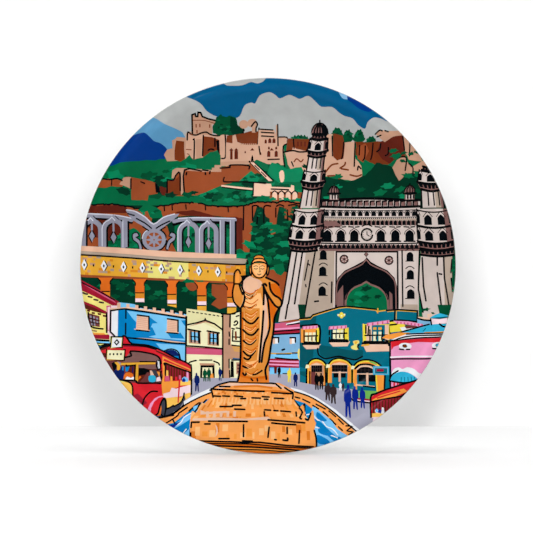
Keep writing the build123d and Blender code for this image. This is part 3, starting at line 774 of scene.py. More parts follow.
def drawBlueHouse():
    fill("wallBlue", at(-80,-22.4, -74,-22.4, -43.6,-27, -43.6,-53, -56,-52, -80,-40))
    # crenels
    fill("leafNight", at(-80,-19, -60,-19, -43.6,-23, -43.6,-25, -62,-22, -80,-21))
    fill("wallPale", at(-79.8,-18.8, -74.6,-19.4, -71,-20, -71,-22, -79.8,-21.6))
    for k in range(8):
        x, z = -79.6 + k * 4.7, -19 - k * 0.66
        fill("ledge", around(x, z, -0.9, 0, 0.8, -0.1, 0.8, -3.2, -0.9, -3.1))
        if k > 1:
            fill("wallPale", around(x, z, 1.2, -1, 3.6, -1.5, 3.6, -3.6, 1.2, -3.2))
            line(around(x, z, 1.2, -3, 1.2, -0.9, 3.7, -1.4))
    fill("sandPale", at(-84,-21.8, -74.6,-21.4, -60,-23.2, -43.6,-26, -43.6,-27, -60,-24.4, -75,-22.4,
        -84,-22.8))
    pen(at(-83.8,-23.2, -77,-22.4, -73.6,-22.8, -60,-24.8, -43.6,-27.4), 0.9)
    fill("wallPale", at(-75.4,-23.4, -60,-25.4, -43.8,-28, -43.8,-39.4, -60,-38, -64,-37.2, -60,-36.4,
        -61.8,-32.4, -70,-30.4, -70.4,-29.6, -72.4,-27.6))
    fills("wallBlue", at(-64,-26.2, -59,-30, -61.8,-30.2, -63.6,-34.2, -70,-33.4, -70,-26), at(-46.6,-28.6,
        -43.8,-32.4, -43.8,-28.4), at(-54.4,-34.4, -49,-36, -47,-35, -47.6,-34, -44.6,-38.4, -52,-38))
    dashes(0.8, at(-76,-23, -76,-27.4, -76,-30, -76,-35.8))
    for corners in (at(-70.6,-33.2, -64,-33.8, -64,-26.6, -70.2,-25.8), at(-54.2,-34.6, -48.4,-35,
            -48.4,-28.6, -54,-27.8)):
        window = quad(corners)
        fill("shutter", onFace(window, panel(0, 0, 1, 1)))
        for v in (0.14, 0.28, 0.42, 0.56, 0.7, 0.84):
            line(onFace(window, [(0.08, v), (0.92, v)]), 0.16, "tan")
        line(onFace(window, at(0.04,1.02, 1.04,1.02, 1.04,0.06)))
        fill("shutter", onFace(window, panel(-0.14, -0.04, 1.12, 0.03)))
        line(onFace(window, at(0.02,-0.07, 1.04,-0.09)), 0.75)
    fill("ledge", at(-76,-37.4, -60,-38.4, -43.8,-40.4, -43.8,-41.2, -60,-39.4, -76,-37.9))
    pen(at(-76,-37.6, -60,-39.4, -52,-40.6, -44,-41), 0.9)
    fill("wallPale", at(-60,-40.8, -44,-42, -44,-53, -52,-50, -56,-45.6))
    door = at(-56,-46, -54,-44.6, -50.6,-44.4, -48.2,-46, -47.2,-48.6, -47.2,-53, -56,-48)
    fill("navy", door, 2)
    fill("wallBlue", at(-51.4,-47.6, -48,-47.6, -47.4,-50, -48.4,-50))
    pen(at(-56.6,-45.6, -54,-44.2, -50.6,-44, -47.8,-45.8, -46.8,-50), 0.7)
    line(at(-43.8,-26.6, -44,-53), 1)


def drawCreamHouse():
    wall = at(-43.6,-22.2, -34,-23.4, -23.8,-25.2, -23.8,-60, -43.6,-60)
    fill("cream", wall)
    fill("creamPale", at(-43.4,-31, -36,-29.2, -24,-35, -24,-60, -43.4,-60))
    for k in range(9):
        line([(-42.6 + k * 2.2, -23.7 - k * 0.33), (-41.7 + k * 2.2, -23.9 - k * 0.33)], 0.6)
    fill("tan", at(-43,-32, -37,-29.8, -33.4,-28.4, -29,-29.8, -24,-33.4, -24,-34.2, -29,-30.8, -33.4,-29.6,
        -38,-30.8))
    line(at(-43.6,-31, -38,-29.8, -34,-28.6, -33.6,-27.8, -33.2,-28.6, -28.6,-30.4, -24,-33.8))
    for corners in (at(-42,-40.4, -36.2,-40.9, -36.4,-34.6, -42.2,-33.9), at(-32,-41.4, -26.4,-41.9,
            -26.4,-35.4, -32,-34.8)):
        window = quad(corners)
        fill("tan", onFace(window, panel(-0.06, -0.06, 1.04, 1.04)))
        fill("wallPale", onFace(window, panel(0.12, 0.08, 0.9, 0.9)))
        fill("tan", onFace(window, panel(0.12, 0.1, 0.9, 0.22)))
        for u in (0.16, 0.5, 0.86):
            line(onFace(window, [(u, 0.08), (u, 0.92)]))
        line(onFace(window, at(0.1,0.52, 0.9,0.52)), 0.6)
        lines(0.9, onFace(window, at(-0.1,1.08, 1.06,1.02)), onFace(window, at(0.92,0.96, 0.94,0.04)))
    fill("pinkRoof", at(-43.6,-42.8, -24,-43.8, -24,-47.2, -43.6,-46.6))
    fill("crimson", at(-43.6,-42.8, -24,-43.8, -24,-44.2, -43.6,-43.2))
    pen(at(-43.6,-42.2, -34,-42.8, -24,-43.8), 0.9)
    pen(at(-42.6,-52, -41.6,-50.8, -38.4,-50), 0.8)
    pen(at(-36.6,-49.8, -30,-49.8), 0.7)
    pen(at(-29,-50.4, -26.6,-51.4, -26,-52.4), 0.8)
    fill("tan", at(-36.6,-51.4, -28.4,-51.6, -28.6,-52.8, -36.4,-52.6))
    drawn("creamPale", at(-35.6,-59.4, -35.6,-53, -29.4,-53, -29.4,-59.4), 0.85)
    line(at(-35.8,-59, -35.6,-53.2, -29.2,-53.2, -29,-59), 1.1)
    fill("busOrange", at(-31.2,-57, -29.4,-57, -29,-59.6, -31.6,-59.6))
    line(at(-43.6,-26.6, -43.8,-42), 0.9)
    fill("tan", at(-24,-25.4, -19.6,-25.2, -18.6,-60, -24,-60))
    fill("sandDark", at(-23.4,-26, -20.4,-25.6, -20,-45, -21.6,-60, -23.4,-60))
    line(at(-24.2,-25, -24.2,-59.4), 0.9)
    pen(at(-25,-25, -21,-25.2, -18.6,-24.8, -15,-23.4), 0.8)
    line(at(-20.2,-25.4, -20.4,-32), 0.9)
    # narrow front behind the statue
    fill("creamPale", at(-19.8,-25.6, -13.8,-23.6, -13.8,-43, -19.8,-42))
    fill("tan", at(-19.6,-42, -13.4,-43, -13.4,-49, -19.6,-48.6))
    fill("creamPale", at(-20.4,-49.4, -13.4,-49.4, -13.4,-60, -20.4,-60))
    lines(0.75, at(-19.4,-25.2, -17.6,-25), at(-17,-24, -15,-23.4), at(-17,-26.4, -15.6,-26),
        at(-19.4,-32.8, -18,-33.2), at(-17,-32.6, -14.6,-33), at(-20.8,-34.8, -20.6,-37),
        at(-20.8,-38.6, -20.8,-41.4), at(-19.4,-41.8, -14.6,-42.4), at(-18.8,-33.8, -19,-39.6, -15,-39.8),
        at(-19,-37.4, -15,-37.6), at(-20.8,-49.4, -20.8,-54), at(-20.6,-55.4, -20.4,-59),
        at(-19.4,-49.8, -14.6,-49.8))
    for k, z in enumerate((-42.8, -43.8, -44.8)):
        line([(-19 + k * 0.5, z), (-15, z - 0.2)], 0.5, "gold")
    pen(at(-18,-29.6, -17,-28.8, -16.2,-29.8, -17.2,-31, -18.2,-31), 0.8)
    fill("brown", at(-17.8,-34.4, -16.8,-34.4, -16.6,-39, -17.6,-39))
    fill("black", at(-20,-50.4, -18.4,-50.4, -18.2,-59, -20,-59))
    fill("tan", at(-17,-51, -14.4,-51, -14.6,-57.4, -17,-57.4))
    for k in range(3):
        block("busInside", -16.5, -53.2 - k * 1.7, -15.4, -52 - k * 1.7)
    fill("road", at(-40,-59.4, -13,-59.4, -13,-61, -40,-61))
    walker("navy", -25.6, -60.6, 2, 7, 67)
    walker("navy", -38, -66.2, 2.8, 9.6, 66)
    walker("leafDark", -33.8, -61, 2.2, 6.6, 64)
    walker("leafDark", -31.6, -61, 2.2, 7, 65)


# small house right of the statue
def drawMiddleHouse():
    fill("leafNight", at(4,-20, 20,-20, 20,-30, 4,-30))
    fill("brick", wobble(at(8,-27.6, 17,-28.4, 18,-30, 6,-30), 0.2, 2, 68))
    fill("stone", at(5.6,-29.4, 7.2,-20, 16,-20, 17,-27.6, 12,-28.4))
    line(at(9.4,-27.6, 10.6,-20), 0.9)
    fill("wallBlue", at(1,-30, 17,-29.4, 17,-60, 1,-60))
    fill("paleBlue", at(1,-36, 17,-36, 17,-46.4, 1,-46.4))
    fills("wallPale", at(1,-46.6, 17,-46.6, 17,-50, 1,-50), at(1,-54, 17,-54, 17,-58, 1,-58))
    fill("pinkRoof", at(2,-30.4, 17.2,-29, 17.2,-34, 2,-34.4))
    fill("rose", at(2,-33, 17.2,-32, 17.2,-32.8, 2,-33.8))
    fill("crimson", at(2,-34.8, 17.2,-33.8, 17.2,-35.6, 2,-36.2))
    pens(0.75, at(10,-30.4, 17.4,-29.4), at(2,-34.6, 10,-34, 17.2,-33.4), at(2,-36.2, 10,-35.8, 17.2,-35.4))
    pen(at(10,-30.6, 17.4,-29), 0.7, "white")
    pen(at(10.4,-31, 17.4,-30), 0.7)
    for x in (4.2, 13.2):
        block("white", x - 1.4, -41, x + 1.2, -38.2)
        block("shutter", x - 1.6, -41.2, x - 0.4, -38)
        line([(x - 1.4, -37.8), (x + 1.5, -37.8), (x + 1.5, -40.2)], 0.8)
    line(at(7.6,-44.4, 8.8,-44), 1)
    pen(at(1.6,-46.2, 8,-46.4, 16.6,-45.8), 0.7, "gold")
    pens(0.6, at(4.6,-46.6, 12,-46.6), at(13,-46, 15.6,-46))
    fill("rose", at(0.6,-49, 16.6,-50, 16.6,-53.4, 0.6,-53))
    for z in (-49.4, -51.2, -53):
        fill("crimson", [(0.6, z + 0.5), (16.6, z - 0.2), (16.6, z - 1), (0.6, z - 0.5)])
    pen(at(4,-48.6, 12,-49.4, 16,-49.4), 0.8)
    fill("road", at(0,-57.4, 17,-57.2, 17,-62, 0,-62))
    fill("maroon", at(3.2,-53.4, 5,-53.4, 4.6,-57, 3.4,-57))
    walker("black", 6, -59, 1.8, 6, 69)
    line(at(8,-57, 10.6,-57), 0.5)
    walker("yellow", 11.4, -61.4, 2.2, 7.4, 70)
    walker("navy", 14.8, -63.6, 2.4, 7.2, 71)
    fill("straw", at(16.4,-43.6, 17.2,-44, 16.8,-47.6, 17,-50, 16,-48.4, 15.8,-45.4))


# teal house with the yellow arcade, its shop sign left blank
def drawTealHouse():
    top = at(17,-27.6, 22.6,-27.2, 24,-25.6, 31,-23.4, 38,-21.4, 42,-21, 46.6,-21.4, 58,-22.6, 58.8,-24,
        63,-23.4, 70,-23, 79.8,-23.6)
    fill("teal", top + at(80,-29, 66,-29.2, 66,-66, 58,-66.8, 45,-64.6, 17,-62))
    fill("tealDark", at(20,-28, 24,-26, 26,-25.4, 24,-50, 17,-52, 17,-30))
    for k in range(4):
        fill("tealDark", [(17, -42 - k * 4.6), (24 + k, -43.4 - k * 4.2), (20, -45 - k * 4.6),
            (17, -45.4 - k * 4)])
    line([(x, z - 0.55) for x, z in top[:9]], 0.6, "gold")
    line(top[:8])
    line(at(58.8,-22.2, 58.9,-23.8, 63,-23.2), 0.6, "gold")
    line(at(63.4,-23.2, 70,-22.8, 79.8,-23.4, 79.6,-28.4), 0.9)
    line(at(64,-23.9, 70,-23.4, 79.2,-24), 0.35, "gold")
    line(at(68,-23.4, 67.8,-28.8), 0.9)
    line(at(68.8,-23.6, 68.6,-28.4), 0.4, "gold")
    pen(at(65.4,-29, 70,-28.4, 80,-29.2), 0.9)
    for k in range(4):
        way = math.pi / 2 * k
        fill("yellow", oval(39.4 + 1.1 * math.cos(way), -25.8 + 0.95 * math.sin(way), 1.7, 1.5, 8))
    fills("creamPale", oval(37.6, -25.6, 1, 1, 6), oval(41, -25.4, 1, 1, 6), oval(39.4, -26, 1.2, 1, 6))
    # windows with awnings and ledges: left, right, foot, top, and 1 for the wide one
    for x0, x1, z0, z1, spread in ((19, 27.6, -42, -31.8, 0), (33.2, 43.2, -40.6, -31.8, 0),
            (51, 65, -41.6, -30, 1)):
        frameTop = z1 - 0.6
        block("yellow", x0 + (4 if x0 == 33.2 else 0), z0 + 1, x1, frameTop)
        if x0 == 33.2:
            block("teal", 32.6, -40.8, 36.4, -33.2)
            for z in (-34, -37.6):
                line([(33, z), (32.8, z - 2.2)], 0.75)
        if x0 == 19:
            pen(at(17.6,-31.6, 22,-31.2, 27.6,-31.6, 27.6,-40.6), 1.1)
            block("busOrange", 17.6, -40.4, 26.2, -33)
        if x0 == 51:
            block("sandPale", 52.6, -40.4, 64.6, -31)
            block("teal", 55.6, -40, 62.6, -31)
            for x in (52.4, 65.4):
                line([(x, -31.4), (x, -35.4)], 0.9)
            line(at(51,-30.6, 51.2,-41.4), 0.7, "yellow")
            line(at(54,-31.4, 53.6,-36), 0.8)
            for x in (57.2, 60):
                block("gold", x - 0.9, -33.6, x + 0.9, -32.2)
        middle = (x0 + x1) / 2 - (0 if spread else 0.6)
        for x in (middle - 2, middle, middle + 2) if not spread else (57.2, 60):
            block("creamPale", x - 0.8, z0 + 2, x + 0.8, z0 + 7)
            block("black", x + 0.5, z0 + 2.6, x + 1.1, z0 + 4.6)
        for x in (middle - 3.4, middle + 3.2):
            line([(x, z0 + 2), (x, z0 + 8)], 0.7)
        line([(x0 + 1, z0 + 5), (x1 - 1, z0 + 5.2)], 0.8)
        line([(x0 + 0.6, z0 + 1.6), (x1 - 0.8, z0 + 1.4)], 1.2)
        awning = quad([(x0 + (2 if spread else -0.8), z1 - 1.6),
            (x1 - (0 if spread else 1), z1 - 1 + spread), (x1 - (0 if spread else 1), z1 + 0.6 + spread),
            (x0 + (2 if spread else -0.4), z1)])
        fill("rose", onFace(awning, panel(0, 0, 1, 1)))
        for k in range(0, 9, 2):
            fill("pinkRoof", onFace(awning, panel(k / 9, 0, (k + 0.6) / 9, 0.9)))
        fill("sandPale", [(x0 - 0.8, z0 + 1), (x1 + 0.8, z0 + 0.8), (x1 - 0.6 if not spread else x1,
            z0 - (1.8 if not spread else 3.4)), (x0 + 1.6, z0 - (2 if not spread else 3.8)),
            (x0, z0 - 0.4)])
        line([(x0 - 0.4, z0 + 0.8), (x1 - 0.4, z0 + 0.8)], 1.1)
    line(at(50.4,-42, 54,-41.6), 0.9, "gold")
    pen(at(52.4,-40.6, 63.8,-40.4, 64.6,-41.8), 1, soft=3)
    fill("tealDark", at(27.4,-42.4, 30,-42, 38,-43.4, 44,-44.6, 50.4,-44.4, 50.8,-47, 49,-48.6, 44,-49.4,
        40,-48, 33,-48.6, 28.4,-47.4), 3)
    pen(at(26.6,-43.6, 27.2,-47, 30.4,-49, 33.6,-48.6, 38,-47.8, 43,-49, 47,-49.6, 50.6,-47.8), 0.8)
    # hanging bell
    fill("straw", at(45.8,-39.6, 48.4,-39.2, 48.8,-40.6, 47.6,-41.6, 48.4,-43.4, 47.4,-44.4, 45,-43.8,
        44.4,-42.6, 46,-41.6, 45.6,-40.4), 3)
    fill("gold", at(46.4,-39.9, 48,-39.8, 47.6,-41, 46.6,-41.2), 2)
    pen(at(48.8,-41.4, 48,-42.6, 48.6,-43.6), 0.8)


def drawArcade():
    for x0, x1, crown, foot in ((20.6, 31.6, -49, -63.4), (31.6, 45, -48.8, -64.4), (45, 61, -49.6, -66)):
        wide, middle = x1 - x0, (x0 + x1) / 2
        rise = [(x0, foot), (x0 + 0.2, crown - 4.2), (x0 + wide * 0.2, crown - 1), (middle, crown),
            (x1 - wide * 0.2, crown - 1.2), (x1, crown - 3.8), (x1, foot)]
        drawn("yellow", curve(rise[1:6], 4, False) + [(x1, foot), (x0, foot)], 0.9)
        under = [(x0 + 0.6, foot), (x0 + 0.8, crown - 4.6), (x0 + wide * 0.24, crown - 2),
            (middle, crown - 1.2), (x1 - wide * 0.22, crown - 2.2), (x1 - 0.6, crown - 5), (x1 - 0.6, foot)]
        fill("busOrange", curve(under[1:6], 4, False) + [(x1 - 0.6, foot), (x0 + 0.6, foot)])
        if wide > 14:
            fill("leafLime", around(middle, crown, 1, -0.6, 4.4, -1.6, 5.4, -2.8, 2, -1.6), 2)
        fill("sandPale", [(x0 + 1.6, crown - 4.4), (x0 + 3, crown - 3), (middle, crown - 2.2),
            (x1 - 3, crown - 3), (x1 - 1.6, crown - 4.4)])
        if x0 == 20.6:
            fill("tan", [(23, foot), (23, crown - 3.6), (29.8, crown - 3.6), (29.8, foot)])
            fill("busInside", [(23, foot), (23, crown - 7), (25.4, crown - 7), (25.4, foot)])
        else:
            fill("teal", [(x0 + 2.6, foot), (x0 + 2.6, crown - 3.6), (x1 - 2.4, crown - 3.6),
                (x1 - 2.4, foot)])
        x, gap = x0 + 2.6, (wide - 5.6) / 5
        block("night", x, crown - 7.2, x1 - 2.6, crown - 3.6)
        for k in range(1, 5):
            block("umber", x + k * gap, crown - 7.2, x + k * gap + 0.3, crown - 3.6)
        block("umber", x, crown - 5.6, x1 - 2.6, crown - 5.3)
        if x0 != 20.6:
            for k in range(2):
                left = x + 0.8 + k * (wide - 6) / 2
                block("night", left, crown - (10.4 if wide < 14 else 11.6), left + (wide - 7.4) / 2,
                    crown - 7.8)
            block("ledge", middle - 0.5, foot + 3, middle + 0.7, crown - 7)
            block("ledge", x, crown - 7.9, x1 - 2.6, crown - 7.3)
        fill("creamPale", [(x0 - 0.6, crown - 5.2), (x0 + 1.6, crown - 5), (x0 + 1.4, crown - 3.4),
            (x0 - 0.2, crown - 3.2)])
    pen(at(46.6,-54.4, 48.6,-52.6, 52,-52, 56,-52.6, 58,-54), 1)
    pen(at(47.8,-54.6, 50,-53.2, 54,-53.2, 57,-54.6), 0.8, "sandPale")
    dashes(0.8, at(22.4,-56, 22.4,-62.6, 30.6,-53, 31,-64))
    fill("ledge", at(47,-62.6, 57,-63.4, 57,-64, 47,-63.4))
    line(at(51,-63.6, 57,-64.2), 0.8)
    fill("busOrange", at(57.4,-57, 62,-57, 61.4,-66, 57.8,-66.4))
    fill("yellow", at(57.4,-57, 58.2,-57, 58.4,-66.4, 57.8,-66.4))
    line(at(62.4,-57, 61.8,-66), 0.9)
    block("aqua", 56.2, -57.6, 64.6, -53)
    block("paleBlue", 56.8, -57, 64, -53.6)
    block("teal", 57.2, -56.8, 63.6, -54)
    fill("crimson", at(58,-55.8, 61.6,-55.8, 62,-54.8, 61,-54.4, 58.2,-54.6))
    line(at(65.4,-40, 65,-62), 1)


# pink house on the right
def drawPinkHouse():
    fill("paleBlue", at(79.6,-27.6, 88,-28, 88,-34, 79.6,-33))
    fill("sandPale", at(80,-26.4, 87,-27.2, 87,-28, 80,-27.6))
    pen(at(80,-27.4, 83,-28.2, 86.6,-28.4), 0.9)
    fill("sandPale", at(84.6,-25, 87,-24.6, 87.4,-27, 85,-27))
    fill("yellow", at(65,-29.4, 72,-29, 75,-34, 65.4,-35))
    fill("white", at(70.6,-32.4, 78,-31, 80,-32, 72,-34.6))
    fill("busInside", at(73,-31.6, 78,-30.8, 80,-32, 74,-33))
    line(at(65.4,-31, 69,-30.6), 0.9)
    fill("rose", at(67,-28.8, 75,-29, 82.6,-30.4, 82.8,-32, 75,-30.8, 69,-30.2))
    for k in range(8):
        x = 69 + k * 1.8
        fill("pinkRoof", [(x, -29.2 - k * 0.14), (x + 0.8, -29.3 - k * 0.14), (x + 0.7, -30.4 - k * 0.2),
            (x + 0.1, -30.4 - k * 0.2)])
    fill("wallPale", at(68,-36, 78,-33.2, 86,-31, 96,-30, 96,-35, 82,-36))
    fill("aqua", at(69,-35.6, 80,-32.6, 87,-30.4, 96,-30, 96,-34, 88,-34.4, 72,-35.4))
    pen(at(71,-34.8, 79,-32.4, 85.6,-30.4), 0.8)
    pen(at(82.6,-34, 83.8,-32.6), 0.5, "teal")
    fill("busOrange", at(83,-34.6, 95,-34, 95,-34.8, 83,-35.2))
    # turret
    fill("blush", at(86.6,-26.8, 94.6,-26.2, 96,-29.8, 87,-30.4))
    fill("leafDark", at(90,-20, 100,-20, 98,-26, 91,-25))
    fill("aqua", at(85.8,-27, 88.6,-25.4, 91,-24.4, 94.6,-25.4, 96.4,-26.6, 92,-27.4))
    fill("tealDark", at(86,-27.2, 91,-27.6, 96.4,-26.8, 96,-26.2, 90,-26.6))
    line(at(86.4,-27.6, 86.8,-30.6), 0.8)
    pen(at(91,-30.2, 93,-31.6, 95,-31.4), 0.9)
    fill("busOrange", at(61,-38, 63,-36.4, 70,-35, 76,-35, 73,-36.6, 66,-38.6))
    fill("white", at(66,-38.8, 74,-35.8, 84,-35.4, 96,-35, 96,-37.4, 84,-37.4, 72,-39))
    fill("signGrey", at(84,-35.8, 96,-35.4, 96,-36.4, 84,-36.6))
    pens(0.75, at(61.4,-38.6, 66,-39.6, 72,-37.6, 80,-36.4, 96,-36), at(66,-40, 74,-38.4, 84,-37.4, 96,-37),
        at(74,-35.8, 84,-35.2, 95,-35))
    fill("rose", at(65.8,-40, 96,-37, 96,-50, 80,-66, 65.8,-66))
    fill("busRed", at(65.8,-40, 74,-38.8, 84,-37.8, 96,-37.4, 92,-40, 80,-39.8, 72,-41, 67.4,-42.6,
        66,-44.4))
    for x, z, w in ((73.2, -42.2, 6.6), (90.4, -41.6, 7)):
        fill("white", oval(x, z, w, 3.6, 12), 2)
        drawn("brown" if x < 80 else "aqua", oval(x - 0.2, z + 0.1, 2.4, 1.6, 8), 0.3)
        lines(0.8, around(x, z, -3, -1.6, -0.8, -1.8), around(x, z, 0.6, -1.7, 2.2, -1.6))
    pen(at(65.6,-48.2, 76,-47.4, 90,-47.4), 0.7, "white")
    pen(at(65.6,-49.2, 74,-48.8, 88,-48.6))
    fill("white", at(65.6,-57.6, 67,-54.4, 69.6,-53.4, 71.6,-54.2, 74,-53.2, 77.4,-54, 80.4,-56.4, 83,-56.8,
        81,-60, 78,-58, 74,-55.8, 70,-55.8, 67.4,-57.8), 3)
    fill("aqua", at(64.8,-60.4, 66,-58, 69,-56, 72.6,-55.6, 76.4,-57, 80,-60.2, 78.6,-61.4, 70,-61), 3)
    for k in range(5):
        pen([(70.6 + k * 1.9, -60.8), (70.8 + k * 1.7, -58.6 + k * 0.1)], 0.4, "teal")
    pen(at(64.6,-60.6, 65.8,-57.6, 69.2,-55.2), 0.8)
    fill("rose", at(65.4,-61, 74,-61.4, 72,-64, 65.4,-64.6))
    fill("busInside", at(69.6,-61.2, 80,-61.4, 72,-64, 69,-64))
    for x in (66.6, 68.4):
        fill("busRed", [(x, -61), (x + 0.9, -61), (x + 0.8, -64.4), (x, -64.4)])
    pen(at(65,-60.6, 72,-61.4, 80,-60.4), 0.9)
    line(at(65,-61, 65,-64.8), 0.9)


def drawWalkers():
    fill("teal", at(31,-62, 46,-62, 46,-65.4, 31,-65.6))
    fill("road", at(17,-61.6, 32,-64.4, 45,-65.4, 55,-70, 55,-84, 40,-80, 20,-70))
    fill("leafLime", at(46.6,-66.4, 51,-65.8, 58,-66, 55,-70.6, 47,-70))
    fill("leafBright", at(55,-67.4, 62,-65.8, 58,-66.8, 55,-69))
    fill("crimson", at(46,-69.6, 54.8,-70.2, 54.8,-71.4, 46,-70.6))
    fill("blush", at(46,-70.4, 54.8,-71.2, 54.8,-71.8, 46,-71))
    pen(at(44.6,-70.2, 46.4,-71.4, 54.8,-72.2))
    walker("black", 26.2, -65.4, 2.6, 8.8, 72)
    walker("black", 28.6, -65.2, 2.8, 8.6, 73)
    walker("umber", 32, -71, 3.4, 9, 74)
    walker("umber", 35, -72.6, 3.6, 10, 75)
    walker("white", 38.8, -65.8, 1.6, 4, 76)
    walker("umber", 40.2, -66.4, 1.5, 4.4, 77)
    walker("royal", 42.6, -79.2, 4, 16.4, 78)
    walker("royal", 46.6, -75.2, 3.4, 11.6, 79)
    walker("royal", 50.4, -74.6, 3, 10.4, 80)


# coaches
def drawRightBus():
    shell = at(54.8,-84, 54.6,-69.4, 58,-67, 63,-65, 72,-62, 82,-59.6, 90,-60, 80,-76, 66,-86)
    fill("busRed", shell)
    fill("busOrange", at(55.4,-70.6, 60,-68, 72,-64.4, 74,-66, 66,-69.2, 55.4,-71.8))
    fill("busRed", at(57.6,-69.4, 64,-67.2, 70,-65.4, 70.4,-66, 64,-68, 58,-70))
    fill("maroon", at(55.4,-72, 62,-70.6, 71,-68.8, 76,-70, 68,-78, 62,-80, 55.4,-78))
    for k in range(9):
        x = 56.4 + k * 1.6
        fill("crimson", [(x, -71.6 + k * 0.3), (x + 0.7, -71.6 + k * 0.3), (x + 0.5, -77.4), (x, -77.6)])
    fill("white", at(60.4,-74.4, 61.4,-74.6, 62,-78, 60,-78))
    fill("blush", at(56.6,-76, 58.4,-75.6, 60,-77.4, 57.4,-77.8))
    fill("royal", at(58.6,-75.4, 60.4,-76, 60,-77.6, 58.2,-77.2))
    fill("wallPale", at(57,-75.4, 58,-75, 58.4,-77, 57.2,-77))
    fill("busYellow", at(55.2,-77.6, 58,-77.4, 62,-78, 64,-80, 55.2,-80))
    fill("blush", at(55.2,-79.6, 64,-79.4, 58,-84, 55.2,-84))
    pen(at(54.8,-84, 54.6,-69.6, 57.4,-67.4, 63,-65, 72,-62, 80,-59.8), 0.95)
    pen(at(55.2,-71.6, 62,-70, 70.4,-68.6), 0.9)
    pen(at(70.4,-68.8, 72.4,-67.6, 76,-65.4), 1.2)


